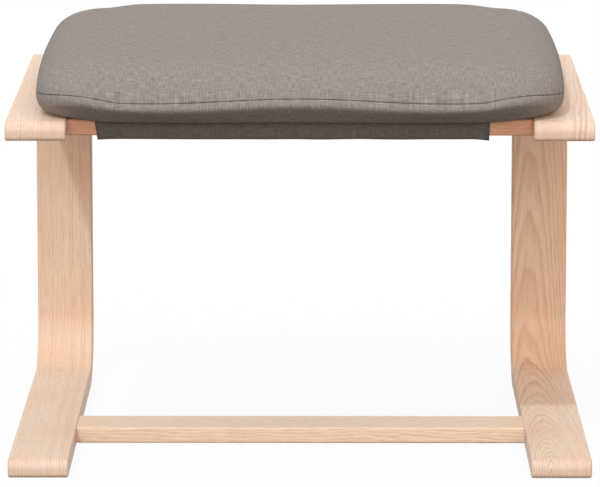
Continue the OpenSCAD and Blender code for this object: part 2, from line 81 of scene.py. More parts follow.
def add(
    tree: bpy.types.NodeTree,
    kind: str,
    inputs: dict[int | str, object] | None = None,
    stops: Sequence[tuple[float, RGBA]] = (),
    **settings: object,
) -> bpy.types.Node:
    """Adds a shader node with its settings and links.

    Args:
        tree: the node tree that gets it.
        kind: the node's type without the leading ShaderNode.
        inputs: for each input's name or number, its value, or the output that feeds it, or a node whose first
            output in use feeds it.
        stops: places and colours of a colour ramp.
        settings: other properties of the node.

    Returns:
        The new node.
    """
    node = tree.nodes.new("ShaderNode" + kind)
    for name, value in settings.items():
        setattr(node, name, value)
    for key, value in (inputs or {}).items():
        if isinstance(value, bpy.types.Node):
            value = next(output for output in value.outputs if output.enabled)
        if isinstance(value, bpy.types.NodeSocket):
            tree.links.new(value, node.inputs[key])
        else:
            node.inputs[key].default_value = value
    for i, (place, colour) in enumerate(stops):
        stop = node.color_ramp.elements[i] if i < 2 else node.color_ramp.elements.new(place)
        stop.position, stop.color = place, colour
    return node


def blank_material(name: str) -> tuple[bpy.types.Material, bpy.types.NodeTree]:
    """Makes a material with an empty node tree.

    Args:
        name: the material's name.

    Returns:
        The material and its tree.
    """
    material = bpy.data.materials.new(name)
    material.use_nodes = True
    material.node_tree.nodes.clear()
    return material, material.node_tree


def surface(tree: bpy.types.NodeTree, inputs: dict[int | str, object]) -> None:
    """Ends a material in one Principled shader.

    Args:
        tree: the material's tree.
        inputs: the shader's inputs.
    """
    add(tree, "OutputMaterial", {"Surface": add(tree, "BsdfPrincipled", inputs)})


def sew(
    tree: bpy.types.NodeTree, colour: Feed, flat: bpy.types.Node, rows: Sequence[float], thread: RGBA
) -> Feed:
    """Draws rows of stitches over a cloth's colour.

    Args:
        tree: the material's tree.
        colour: the cloth's colour.
        flat: splits the cloth's flat place, whose X runs along the rows and Y across them.
        rows: where each row lies across.
        thread: the thread's colour.

    Returns:
        The colour with its stitches.
    """
    step = add(tree, "Math", {0: flat.outputs[0], 1: STITCH_PITCH}, operation="DIVIDE")
    part = add(tree, "Math", {0: step}, operation="FRACT")
    dash = add(tree, "Math", {0: part, 1: STITCH_SHARE}, operation="LESS_THAN")
    for row in rows:
        off = add(tree, "Math", {0: flat.outputs[1], 1: row}, operation="SUBTRACT")
        off = add(tree, "Math", {0: off}, operation="ABSOLUTE")
        near = add(tree, "Math", {0: off, 1: THREAD_HALF_W}, operation="LESS_THAN")
        shown = add(tree, "Math", {0: near, 1: dash}, operation="MULTIPLY")
        colour = add(tree, "Mix", {0: shown, "A": colour, "B": thread}, data_type="RGBA")
    return colour


def streaks(
    tree: bpy.types.NodeTree,
    place: bpy.types.NodeSocket,
    rates: tuple[float, float, float],
    detail: float,
    roughness: float = 0.5,
    seed: float = 0.0,
) -> bpy.types.Node:
    """Draws noise that is longer one way than the other, such as fibres or yarns.

    Args:
        tree: the material's tree.
        place: where each point lies.
        rates: how many spots fit in a metre in each direction.
        detail: how many finer layers the noise has.
        roughness: how strong those layers are.
        seed: where the noise is cut in the third direction.

    Returns:
        The node whose output is the noise, from 0 to 1.
    """
    drawn = add(tree, "VectorMath", {0: place, 1: rates, 2: (0.0, 0.0, seed)}, operation="MULTIPLY_ADD")
    return add(tree, "TexNoise", {"Vector": drawn, "Scale": 1.0, "Detail": detail, "Roughness": roughness})


def growth_rings(tree: bpy.types.NodeTree, radius: Feed, pitch: float, shades: Shades) -> bpy.types.Node:
    """Draws growth rings round a centre line.

    Args:
        tree: the material's tree.
        radius: each point's distance from the line.
        pitch: width of a ring.
        shades: places in a ring from 0 to 1, and how dark the wood is there.

    Returns:
        The node whose output is how dark the wood is.
    """
    turns = add(tree, "Math", {0: radius, 1: pitch}, operation="DIVIDE")
    ring = add(tree, "Math", {0: turns}, operation="FRACT")
    stops = [(place, (shade, shade, shade, 1)) for place, shade in shades]
    return add(tree, "ValToRGB", {0: ring}, stops=stops)


def satin_wood(tree: bpy.types.NodeTree, colour: Feed, fibre: Feed, relief: float) -> None:
    """Ends a wood finish: fibres that can just be felt through a thin satin lacquer.

    Args:
        tree: the material's tree.
        colour: the wood's colour.
        fibre: the fibres' height.
        relief: how strongly they show.
    """
    bump = add(tree, "Bump", {"Strength": relief, "Distance": 0.0003, "Height": fibre})
    surface(tree, {
        "Base Color": colour,
        "Roughness": 0.5,
        "IOR": 1.45,
        "Coat Weight": 0.08,
        "Coat Roughness": 0.35,
        "Normal": bump,
    })


def dress(node: str, material: bpy.types.Material) -> None:
    """Gives a CAD node its finish.

    Args:
        node: the node's name.
        material: its new material.
    """
    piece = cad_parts[node]
    if not piece.material_slots:
        piece.data.materials.append(material)
    for holder in piece.material_slots:
        holder.material = material
    log.info("%s keeps its CAD shape, finish %s", node, material.name)


def place_mesh(name: str, mesh: bmesh.types.BMesh) -> bpy.types.Object:
    """Makes an object of a bmesh and puts it in the scene.

    Args:
        name: the name of the object and of its mesh.
        mesh: its shape, which isn't freed.

    Returns:
        The new object.
    """
    data = bpy.data.meshes.new(name)
    mesh.to_mesh(data)
    item = bpy.data.objects.new(name, data)
    bpy.context.scene.collection.objects.link(item)
    return item


def make_piece(
    name: str,
    mesh: bmesh.types.BMesh,
    material: bpy.types.Material,
    body: str,
    replaces: Sequence[str] = (),
) -> bpy.types.Object:
    """Makes an object of a finished bmesh, hangs it on its body and hides the CAD nodes that it stands for.

    Args:
        name: the piece's name.
        mesh: its shape, which is freed.
        material: its finish.
        body: the CAD body that it rides on.
        replaces: the CAD nodes that it stands for.

    Returns:
        The new object, smooth shaded.
    """
    piece = place_mesh(name, mesh)
    mesh.free()
    piece.data.materials.append(material)
    piece.data.shade_smooth()
    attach(piece, body)
    if replaces:
        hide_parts(*replaces)
    log.info("%s: %d faces, rides on %s, finish %s", name, len(piece.data.polygons), body, material.name)
    return piece


def write_attribute(piece: bpy.types.Object, name: str, values: Iterable[Vector]) -> None:
    """Writes a vector at each vertex.

    Args:
        piece: the piece.
        name: the attribute's name.
        values: the vectors, in the vertices' order.
    """
    layer = piece.data.attributes.new(name, "FLOAT_VECTOR", "POINT")
    for item, value in zip(layer.data, values):
        item.vector = value


def flat_strip(length: float, width: float, faces: tuple[int, int]) -> tuple[bmesh.types.BMesh, list[Vector]]:
    """Makes a strip that lies flat, to be bent to its place.

    Args:
        length: its size along X.
        width: its size along Y.
        faces: how many faces it has along X and along Y.

    Returns:
        The mesh, and the flat place of each vertex.
    """
    mesh = bmesh.new()
    bmesh.ops.create_grid(mesh, x_segments=faces[0], y_segments=faces[1], size=0.5,
                          matrix=Matrix.Diagonal((length, width, 1, 1)))
    return mesh, [vertex.co.copy() for vertex in mesh.verts]


def thicken(piece: bpy.types.Object, thickness: float, offset: float = 0.0) -> None:
    """Gives a sheet its thickness.

    Args:
        piece: the sheet.
        thickness: how thick it becomes.
        offset: 0 to grow to both sides alike, -1 to grow to the inner side.
    """
    cloth = piece.modifiers.new("cloth thickness", "SOLIDIFY")
    cloth.thickness, cloth.offset = thickness, offset


def extrude(mesh: bmesh.types.BMesh, edges: Edges, move: Vector) -> Edges:
    """Extrudes edges along a straight length.

    Args:
        mesh: the mesh that they belong to.
        edges: the edges.
        move: how far they go.

    Returns:
        The edges at the new end.
    """
    made = bmesh.ops.extrude_edge_only(mesh, edges=edges)["geom"]
    bmesh.ops.translate(mesh, vec=move, verts=[v for v in made if isinstance(v, bmesh.types.BMVert)])
    return [e for e in made if isinstance(e, bmesh.types.BMEdge)]


def apply_modifiers(piece: bpy.types.Object) -> None:
    """Applies all of a piece's modifiers to its mesh.

    Args:
        piece: the piece.
    """
    depsgraph = bpy.context.evaluated_depsgraph_get()
    data = bpy.data.meshes.new_from_object(piece.evaluated_get(depsgraph), depsgraph=depsgraph)
    old = piece.data
    piece.modifiers.clear()
    piece.data = data
    bpy.data.meshes.remove(old)


@dataclass(frozen=True)
class SeatPlane:
    """The plane on the seat sides' top faces: depth runs back from the upper bends, up is square to it."""

    bend_y: float = 0.174
    bend_z: float = 0.2745
    bend_out: float = 0.066
    tilt: float = radians(1.3)

    def at(self, depth: float, up: float, across: float) -> Vector:
        """Gives the place of a point of the seat plane.

        Args:
            depth: how far behind the upper bends' ends.
            up: height above the seat sides' top face.
            across: distance to the right of the middle.

        Returns:
            The point in the shared frame.
        """
        height = up + self.bend_out
        return Vector((
            across,
            self.bend_y + depth * cos(self.tilt) - height * sin(self.tilt),
            self.bend_z + depth * sin(self.tilt) + height * cos(self.tilt),
        ))


SEAT = SeatPlane()


class Side(Enum):
    """The two sides of the stool."""

    LEFT = -1
    RIGHT = 1


@dataclass(frozen=True)
class BentLaminate:
    """Beech veneers glued and bent in a press, sanded and clear lacquered.

    The eye sees pale pinkish wood with soft growth rings that follow the strip round its bends, short fibres,
    and glue lines on the strip's two sawn edges.
    """

    name: str = "beech laminate, bent, satin lacquered"
    light: str = "F8DFCA"
    dark: str = "D2A382"
    seed: float = 0.0

    # The strip, where along it the leg lies, whose warmer tint is painted shade, and where its darker noses
    # begin
    length: float = 1.2067
    strip_w: float = 0.056
    # Painted shade: the leg's tint, warmer and a little darker, stands for the shade that the seat casts on
    # the legs
    leg: str = "FFF6EE"
    leg_from: float = 0.45
    leg_to: float = 0.75
    leg_fade: float = 0.06
    # The wood is a little darker in full within 6 mm of each front end, fading out by 12 mm
    nose_tint: str = "F6F3F6"
    nose_tint_from: float = 0.012
    nose_tint_full: float = 0.006

    # Glue lines on the sawn edges: their distance, and a line's width as a share of half of it
    glue: str = "C08E69"
    glue_pitch: float = 0.006
    glue_share: float = 0.16
    glue_strength: float = 0.5
    sawn_depth: float = 0.0009

    # The rings' centre line, which sinks away under the face along the strip, so that arches close on it
    pith_across: float = 0.018
    pith_rise: float = 0.097
    rise_power: float = 0.29
    rise_start: float = 0.06
    pith_sink: float = 0.043

    # The rings, how they wander, and how their strength changes over the years
    ring_pitch: float = 0.0022
    ring_strength: float = 0.5
    ring_shades: Shades = ((0.0, 0.25), (0.3, 0.0), (0.8, 0.75), (0.93, 1.0))
    wander: float = 0.004
    drift_rates: tuple[float, float, float] = (9.0, 45.0, 0.0)
    ripple: float = 0.4
    ripple_rates: tuple[float, float, float] = (55.0, 190.0, 0.0)
    years_share: float = 0.45
    year_noise: tuple[float, float] = (0.3, 0.7)
    year_strengths: tuple[float, float] = (0.35, 1.3)

    # Fibres about 10 mm long and 1 mm wide, and a coarser set that shows from afar
    fibres: Shades = ((0.010, 0.0010), (0.030, 0.0022))
    fibre_strength: float = 0.75
    fibre_offset: float = -0.66
    relief: float = 0.25

    # Clouds of redder wood
    flush: str = "ECC0A4"
    flush_scale: float = 11.0
    flush_noise: tuple[float, float] = (0.35, 0.75)
    flush_most: float = 0.55

    def build(self) -> bpy.types.Material:
        """Builds the material, which reads the strip's unrolled length, width and depth."""
        material, tree = blank_material(self.name)
        place = add(tree, "Attribute", attribute_name="unrolled").outputs["Vector"]
        along, across, deep = add(tree, "SeparateXYZ", {0: place}).outputs
        fine, coarse = (
            streaks(tree, place, (1 / length, 1 / width, 1 / width), detail=2.0, roughness=0.6)
            for length, width in self.fibres
        )
        both = add(tree, "Math", {0: fine, 1: coarse})
        fibre = add(tree, "Math", {0: both, 1: self.fibre_strength, 2: self.fibre_offset},
                    operation="MULTIPLY_ADD")
        late, strength = self.rings(tree, place, along, across)
        shade = add(tree, "Math", {0: late, 1: strength, 2: fibre}, operation="MULTIPLY_ADD", use_clamp=True)
        wood = add(tree, "Mix", {0: shade, "A": linear(self.light), "B": linear(self.dark)}, data_type="RGBA")
        cloud = add(tree, "TexNoise", {"Vector": place, "Scale": self.flush_scale, "Detail": 1.0})
        low, high = self.flush_noise
        flushed = add(tree, "MapRange", {0: cloud, 1: low, 2: high, 3: 0.0, 4: self.flush_most})
        wood = add(tree, "Mix", {0: flushed, "A": wood, "B": linear(self.flush)}, data_type="RGBA")
        wood = self.tint_zones(tree, wood, along, deep)
        satin_wood(tree, self.glue_lines(tree, wood, across, deep), fine, self.relief)
        return material

    def rings(
        self, tree: bpy.types.NodeTree, place: bpy.types.NodeSocket, along: Feed, across: Feed
    ) -> tuple[bpy.types.Node, bpy.types.Node]:
        """Draws the growth rings.

        Args:
            tree: the material's tree.
            place: where each point lies on the unrolled strip.
            along: its length part.
            across: its width part.

        Returns:
            The nodes whose outputs are how dark a ring is and how strong the rings of that year are.
        """
        drift = streaks(tree, place, self.drift_rates, detail=2.0, seed=self.seed)
        ripple = streaks(tree, place, self.ripple_rates, detail=1.0, seed=self.seed)
        both = add(tree, "Math", {0: ripple, 1: self.ripple, 2: drift}, operation="MULTIPLY_ADD")
        waver = add(tree, "Math", {0: both, 1: 0.5 + self.ripple / 2}, operation="SUBTRACT")
        start = add(tree, "Math", {0: along, 1: self.rise_start})
        risen = add(tree, "Math", {0: start, 1: self.rise_power}, operation="POWER")
        depth = add(tree, "Math", {0: risen, 1: self.pith_rise, 2: -self.pith_sink}, operation="MULTIPLY_ADD")
        beside = add(tree, "Math", {0: across, 1: self.pith_across}, operation="SUBTRACT")
        from_pith = add(tree, "CombineXYZ", {0: beside, 1: depth})
        radius = add(tree, "VectorMath", {0: from_pith}, operation="LENGTH")
        radius = add(tree, "Math", {0: waver, 1: self.wander, 2: radius}, operation="MULTIPLY_ADD")
        year = add(tree, "Math", {0: radius, 1: self.years_share / self.ring_pitch}, operation="MULTIPLY")
        years = add(tree, "TexNoise", {"W": year, "Scale": 1.0, "Detail": 1.0}, noise_dimensions="1D")
        low, high = self.year_noise
        weak, strong = (self.ring_strength * share for share in self.year_strengths)
        strength = add(tree, "MapRange", {0: years, 1: low, 2: high, 3: weak, 4: strong})
        return growth_rings(tree, radius, self.ring_pitch, self.ring_shades), strength

    def tint_zones(self, tree: bpy.types.NodeTree, wood: Feed, along: Feed, deep: Feed) -> Feed:
        """Paints shade on the leg as a warmer, slightly darker tint, for the shade that the seat casts there,
        and makes the wood at the noses a little darker.

        Args:
            tree: the material's tree.
            wood: the wood's colour.
            along: length along the strip, with the depth added.
            deep: depth under the strip's outer face.

        Returns:
            The wood's colour with both.
        """
        true = add(tree, "Math", {0: along, 1: deep}, operation="SUBTRACT")
        middle, half = (self.leg_from + self.leg_to) / 2, (self.leg_to - self.leg_from) / 2
        end = self.length / 2
        # The first tint is painted shade on the leg; the second darkens the wood at the noses
        for centre, start, stop, inside, tint in (
            (middle, half, half + self.leg_fade, 1.0, self.leg),
            (end, end - self.nose_tint_from, end - self.nose_tint_full, 0.0, self.nose_tint),
        ):
            off = add(tree, "Math", {0: true, 1: centre}, operation="SUBTRACT")
            off = add(tree, "Math", {0: off}, operation="ABSOLUTE")
            share = add(tree, "MapRange", {0: off, 1: start, 2: stop, 3: inside, 4: 1.0 - inside})
            wood = add(tree, "Mix", {0: share, "A": wood, "B": linear(tint)}, data_type="RGBA",
                       blend_type="MULTIPLY")
        return wood

    def glue_lines(self, tree: bpy.types.NodeTree, wood: Feed, across: Feed, deep: Feed) -> Feed:
        """Draws the glue lines, which show on the two sawn edges only.

        Args:
            tree: the material's tree.
            wood: the wood's colour.
            across: width from the strip's inner edge.
            deep: depth under the strip's outer face.

        Returns:
            The wood's colour with the lines.
        """
        off = add(tree, "Math", {0: across, 1: self.strip_w / 2}, operation="SUBTRACT")
        off = add(tree, "Math", {0: off}, operation="ABSOLUTE")
        edge = add(tree, "Math", {0: off, 1: self.strip_w / 2 - self.sawn_depth}, operation="GREATER_THAN")
        # The folded depth goes from 0 at a line to 1 halfway to the next
        layer = add(tree, "Math", {0: deep, 1: self.glue_pitch / 2}, operation="DIVIDE")
        folded = add(tree, "Math", {0: layer, 1: 1.0}, operation="PINGPONG")
        line = add(tree, "MapRange", {0: folded, 1: 0.0, 2: self.glue_share, 3: self.glue_strength, 4: 0.0})
        shown = add(tree, "Math", {0: edge, 1: line}, operation="MULTIPLY")
        return add(tree, "Mix", {0: shown, "A": wood, "B": linear(self.glue)}, data_type="RGBA")


@dataclass(frozen=True)
class SolidBeech:
    """Solid beech, planed and clear lacquered: wavy growth rings along the board and fine fibres."""

    name: str = "solid beech, planed, satin lacquered"
    light: str = "FCDEC5"
    dark: str = "D7A382"
    pith: tuple[float, float, float] = (0.0, 0.0, 0.10)
    slope: float = 0.02
    ring_pitch: float = 0.0022
    ring_strength: float = 0.4
    ring_shades: Shades = ((0.0, 0.2), (0.35, 0.0), (0.8, 0.7), (0.93, 1.0))
    wander: float = 0.009
    drift_rates: tuple[float, float, float] = (14.0, 60.0, 60.0)
    fibre_rates: tuple[float, float, float] = (90.0, 900.0, 900.0)
    fibre_offset: float = -0.4
    relief: float = 0.2

    def build(self) -> bpy.types.Material:
        """Builds the material, whose rings run along X in Object coordinates."""
        material, tree = blank_material(self.name)
        place = add(tree, "TexCoord").outputs["Object"]
        centred = add(tree, "Mapping", {"Vector": place, "Location": tuple(-v for v in self.pith)})
        along, beside, above = add(tree, "SeparateXYZ", {0: centred}).outputs
        leaning = add(tree, "Math", {0: along, 1: self.slope, 2: above}, operation="MULTIPLY_ADD")
        from_pith = add(tree, "CombineXYZ", {0: beside, 1: leaning})
        radius = add(tree, "VectorMath", {0: from_pith}, operation="LENGTH")
        drift = streaks(tree, place, self.drift_rates, detail=3.0)
        radius = add(tree, "Math", {0: drift, 1: self.wander, 2: radius}, operation="MULTIPLY_ADD")
        late = growth_rings(tree, radius, self.ring_pitch, self.ring_shades)
        fine = streaks(tree, place, self.fibre_rates, detail=2.0)
        fibre = add(tree, "Math", {0: fine, 1: self.fibre_offset})
        shade = add(tree, "Math", {0: late, 1: self.ring_strength, 2: fibre}, operation="MULTIPLY_ADD",
                    use_clamp=True)
        wood = add(tree, "Mix", {0: shade, "A": linear(self.light), "B": linear(self.dark)}, data_type="RGBA")
        satin_wood(tree, wood, fine, self.relief)
        return material


@dataclass(frozen=True)
class Linen:
    """Woven cloth of slubby polyester and linen yarn: matt, heathered in both thread directions.

    A yarn of such cloth is about 0.5 mm wide, which a render of the whole stool can't show, so the cover's
    weave is drawn at 1 mm.
    """

    name: str = "slubby linen weave, taupe"
    base: str = "928B87"
    light: str = "B4ABA5"
    dark: str = "6E6661"
    pitch: float = 0.0010
    slub: float = 0.010
    thread: str = "9A928A"
    stitches: tuple[float, ...] = ()
    light_from: float = 1.52
    dark_from: float = 0.48
    slub_height: float = 1.5
    relief: float = 0.35
    relief_depth: float = 0.0004

    def build(self) -> bpy.types.Material:
        """Builds the material, which reads the cloth's own flat coordinates."""
        material, tree = blank_material(self.name)
        place = add(tree, "Attribute", attribute_name="cloth").outputs["Vector"]
        thick, long = 1 / self.pitch, 1 / self.slub
        warp, weft = (
            streaks(tree, place, rates, detail=1.5, roughness=0.65)
            for rates in ((thick, long, 1.0), (long, thick, 1.0))
        )
        heather = add(tree, "Math", {0: warp, 1: weft})
        cloth = linear(self.base)
        for full, tint in ((self.light_from, self.light), (self.dark_from, self.dark)):
            share = add(tree, "MapRange", {0: heather, 1: 1.0, 2: full, 3: 0.0, 4: 1.0})
            cloth = add(tree, "Mix", {0: share, "A": cloth, "B": linear(tint)}, data_type="RGBA")
        parts = add(tree, "SeparateXYZ", {0: place})
        turns = [add(tree, "Math", {0: part, 1: 2 * pi / self.pitch}, operation="MULTIPLY")
                 for part in parts.outputs[:2]]
        ribs = [add(tree, "Math", {0: turn}, operation="SINE") for turn in turns]
        weave = add(tree, "Math", {0: ribs[0], 1: ribs[1]}, operation="MULTIPLY")
        height = add(tree, "Math", {0: heather, 1: self.slub_height, 2: weave}, operation="MULTIPLY_ADD")
        bump = add(tree, "Bump", {"Strength": self.relief, "Distance": self.relief_depth, "Height": height})
        surface(tree, {
            "Base Color": sew(tree, cloth, parts, self.stitches, linear(self.thread)),
            "Roughness": 0.95,
            "Specular IOR Level": 0.1,
            "Sheen Weight": 0.03,
            "Sheen Roughness": 0.5,
            "Normal": bump,
        })
        return material


@dataclass(frozen=True)
class Foam:
    """Flexible polyurethane foam, cut from a block: pale yellow, matt, with open cells.

    Its cells are finer than 0.8 mm, at which they are drawn so that a close view shows them.
    """

    name: str = "polyurethane foam, cut"
    base: str = "EFE3BE"
    dark: str = "D8C898"
    cell: float = 0.0008

    def build(self) -> bpy.types.Material:
        """Builds the material on Object coordinates."""
        material, tree = blank_material(self.name)
        place = add(tree, "TexCoord").outputs["Object"]
        cells = add(tree, "TexVoronoi", {"Vector": place, "Scale": 1 / self.cell})
        colour = add(tree, "Mix", {0: cells, "A": linear(self.base), "B": linear(self.dark)},
                     data_type="RGBA")
        bump = add(tree, "Bump", {"Strength": 0.4, "Distance": 0.0004, "Height": cells})
        surface(tree, {"Base Color": colour, "Roughness": 0.95, "Normal": bump})
        return material


@dataclass(frozen=True)
class GripTape:
    """Nylon hook and loop tape: black, matt, with rows of hooks or a felt of loops, sewn at both edges."""

    name: str
    base: str
    tip: str
    pitch: float
    uneven: float
    roughness: float
    thread: str = "4A4744"
    stitches: tuple[float, ...] = (-0.0105, 0.0105)

    def build(self) -> bpy.types.Material:
        """Builds the material, which reads the strip's flat coordinates."""
        material, tree = blank_material(self.name)
        place = add(tree, "Attribute", attribute_name="cloth").outputs["Vector"]
        parts = add(tree, "SeparateXYZ", {0: place})
        pile = add(tree, "TexVoronoi", {"Vector": place, "Scale": 1 / self.pitch, "Randomness": self.uneven})
        tips = add(tree, "MapRange", {0: pile, 1: 0.0, 2: 0.5, 3: 1.0, 4: 0.0})
        colour = add(tree, "Mix", {0: tips, "A": linear(self.base), "B": linear(self.tip)}, data_type="RGBA")
        bump = add(tree, "Bump", {"Strength": 0.8, "Distance": 0.0006, "Height": pile}, invert=True)
        surface(tree, {
            "Base Color": sew(tree, colour, parts, self.stitches, linear(self.thread)),
            "Roughness": self.roughness,
            "Sheen Weight": 0.2,
            "Normal": bump,
        })
        return material


@dataclass(frozen=True)
class PlatedMetal:
    """Steel or zinc with a bright plating: grey metal with a soft mottle of about 3 mm and handling marks."""

    name: str
    base: str
    worn: str
    roughness: float
    mottle_scale: float = 320.0
    smoother: float = 0.06
    rougher: float = 0.08

    def build(self) -> bpy.types.Material:
        """Builds the material on Object coordinates."""
        material, tree = blank_material(self.name)
        place = add(tree, "TexCoord").outputs["Object"]
        mottle = add(tree, "TexNoise", {"Vector": place, "Scale": self.mottle_scale, "Detail": 3.0})
        colour = add(tree, "Mix", {0: mottle, "A": linear(self.base), "B": linear(self.worn)},
                     data_type="RGBA")
        low, high = self.roughness - self.smoother, self.roughness + self.rougher
        rough = add(tree, "MapRange", {0: mottle, 1: 0.3, 2: 0.7, 3: low, 4: high})
        surface(tree, {"Base Color": colour, "Metallic": 1.0, "Roughness": rough})
        return material


@dataclass(frozen=True)
class MouldedPlastic:
    """Polyacetal zip teeth, injection moulded: dark grey with a soft gloss and a fine grain."""

    name: str = "polyacetal, moulded, dark"
    base: str = "3B3733"
    light: str = "4A4540"
    grain_scale: float = 900.0

    def build(self) -> bpy.types.Material:
        """Builds the material on Object coordinates."""
        material, tree = blank_material(self.name)
        place = add(tree, "TexCoord").outputs["Object"]
        grain = add(tree, "TexNoise", {"Vector": place, "Scale": self.grain_scale, "Detail": 2.0})
        colour = add(tree, "Mix", {0: grain, "A": linear(self.base), "B": linear(self.light)},
                     data_type="RGBA")
        bump = add(tree, "Bump", {"Strength": 0.1, "Distance": 0.0001, "Height": grain})
        surface(tree, {"Base Color": colour, "Roughness": 0.38, "IOR": 1.48, "Normal": bump})
        return material


@dataclass
class SideFrame:
    """One side frame: a laminated strip bent into runner, leg and seat side, with rounded front ends."""

    side: Side
    finish: BentLaminate
    half_w: float = 0.27
    half_d: float = 0.24
    strip_w: float = 0.056
    strip_t: float = 0.018
    bend_r: float = 0.048
    seat_l: float = 0.40383
    nose_r: float = 0.010
    nose_low_r: float = 0.0042
    edge_r: float = 0.002
    sharp_from: float = radians(35)
    bend_steps: int = 24
    nose_steps: int = 10
    nose_low_steps: int = 6
    edge_steps: int = 4
    hole_steps: int = 40
    bolt_d: float = 0.0066
    head_d: float = 0.011
    head_h: float = 0.007
    dowel_d: float = 0.0082
    dowel_h: float = 0.0151
    pitch: float = 0.013
    overrun: float = 0.001
    stretcher: tuple[float, float] = (-0.068, 0.00925)
    rails: tuple[float, float] = (-0.35083, -0.039)
    rail_up: float = -0.00922

    def build(self) -> bpy.types.Object:
        """Builds the side frame and returns its object."""
        mesh = self.swept_strip()
        self.round_noses(mesh)
        self.round_long_edges(mesh)
        if self.side is Side.RIGHT:
            bmesh.ops.scale(mesh, vec=(-1, 1, 1), verts=mesh.verts)
        bmesh.ops.recalc_face_normals(mesh, faces=mesh.faces)
        word = self.side.name.lower()
        piece = make_piece(f"bent_{word}_side_frame", mesh, self.finish.build(), "frame",
                           [f"{word}_side_frame"])
        self.drill(piece)
        write_attribute(piece, "unrolled", [self.unrolled(vertex.co) for vertex in piece.data.vertices])
        piece.data.set_sharp_from_angle(angle=self.sharp_from)
        piece.modifiers.new("even shading", "WEIGHTED_NORMAL").keep_sharp = True
        return piece

    def swept_strip(self) -> bmesh.types.BMesh:
        """Sweeps the strip's section along runner, bend, leg, bend and seat side, at the left.

        Returns:
            A closed bmesh with square edges.
        """
        mesh = bmesh.new()
        turn = Matrix.Rotation(radians(90), 4, "X")
        shift = Matrix.Translation((-self.half_w + self.strip_w / 2, -self.half_d, self.strip_t / 2))
        size = Matrix.Diagonal((self.strip_w, self.strip_t, 1, 1))
        bmesh.ops.create_grid(mesh, x_segments=1, y_segments=1, size=0.5, matrix=shift @ turn @ size)
        bmesh.ops.delete(mesh, geom=mesh.faces[:], context="FACES_ONLY")
        bend_y = self.half_d - self.bend_r - self.strip_t
        low_z = self.bend_r + self.strip_t
        edges = extrude(mesh, mesh.edges[:], Vector((0, bend_y + self.half_d, 0)))
        edges = self.turn(mesh, edges, Vector((0, bend_y, low_z)), radians(90))
        edges = extrude(mesh, edges, Vector((0, 0, SEAT.bend_z - low_z)))
        edges = self.turn(mesh, edges, Vector((0, SEAT.bend_y, SEAT.bend_z)), radians(90) + SEAT.tilt)
        extrude(mesh, edges, SEAT.at(-self.seat_l, 0, 0) - SEAT.at(0, 0, 0))
        bmesh.ops.holes_fill(mesh, edges=[e for e in mesh.edges if e.is_boundary], sides=4)
        bmesh.ops.recalc_face_normals(mesh, faces=mesh.faces)
        return mesh

    def turn(self, mesh: bmesh.types.BMesh, edges: Edges, centre: Vector, angle: float) -> Edges:
        """Spins the section round a bend.

        Args:
            mesh: the strip.
            edges: the section's four edges.
            centre: a point on the bend's axis, which runs along X.
            angle: how far it bends, in radians.

        Returns:
            The four edges at the bend's end.
        """
        corners = list({v for e in edges for v in e.verts})
        made = bmesh.ops.spin(mesh, geom=edges + corners, cent=centre, axis=(1, 0, 0), angle=angle,
                              steps=self.bend_steps)
        return [e for e in made["geom_last"] if isinstance(e, bmesh.types.BMEdge)]

    def round_noses(self, mesh: bmesh.types.BMesh) -> None:
        """Rounds the two front ends: widely over their upper edge, a little at the lower one.

        Args:
            mesh: the strip.
        """
        for low in (True, False):
            for top in (True, False):
                edge = self.nose_edge(mesh, low, top)
                if top:
                    self.round_edges(mesh, [edge], self.nose_r, self.nose_steps)
                else:
                    self.round_edges(mesh, [edge], self.nose_low_r, self.nose_low_steps)

    def nose_edge(self, mesh: bmesh.types.BMesh, low: bool, top: bool) -> bmesh.types.BMEdge:
        """Finds one cross edge of a front end.

        Args:
            mesh: the strip.
            low: whether it is the runner's, not the seat side's.
            top: whether it is that end's upper edge.

        Returns:
            The edge, which runs along X.
        """
        if low:
            place = Vector((0, -self.half_d, self.strip_t if top else 0))
        else:
            place = SEAT.at(-self.seat_l, 0 if top else -self.strip_t, 0)
        across = [e for e in mesh.edges if abs(e.verts[0].co.x - e.verts[1].co.x) > 0.9 * self.strip_w]
        return min(across, key=lambda e: hypot(e.verts[0].co.y - place.y, e.verts[0].co.z - place.z))

    def round_long_edges(self, mesh: bmesh.types.BMesh) -> None:
        """Rounds every edge between a sawn edge face and the rest.

        Args:
            mesh: the strip.
        """
        long_edges = [
            e for e in mesh.edges
            if abs(e.verts[0].co.x - e.verts[1].co.x) < self.overrun / 10
            and sum(abs(f.normal.x) > 0.9 for f in e.link_faces) == 1
        ]
        self.round_edges(mesh, long_edges, self.edge_r, self.edge_steps)

    def round_edges(self, mesh: bmesh.types.BMesh, edges: Edges, radius: float, steps: int) -> None:
        """Rounds edges evenly.

        Args:
            mesh: the strip.
            edges: the edges.
            radius: the rounding's radius.
            steps: how many faces it has across.
        """
        bmesh.ops.bevel(mesh, geom=edges, offset=radius, offset_type="OFFSET", segments=steps, profile=0.5,
                        affect="EDGES", material=-1, clamp_overlap=False)

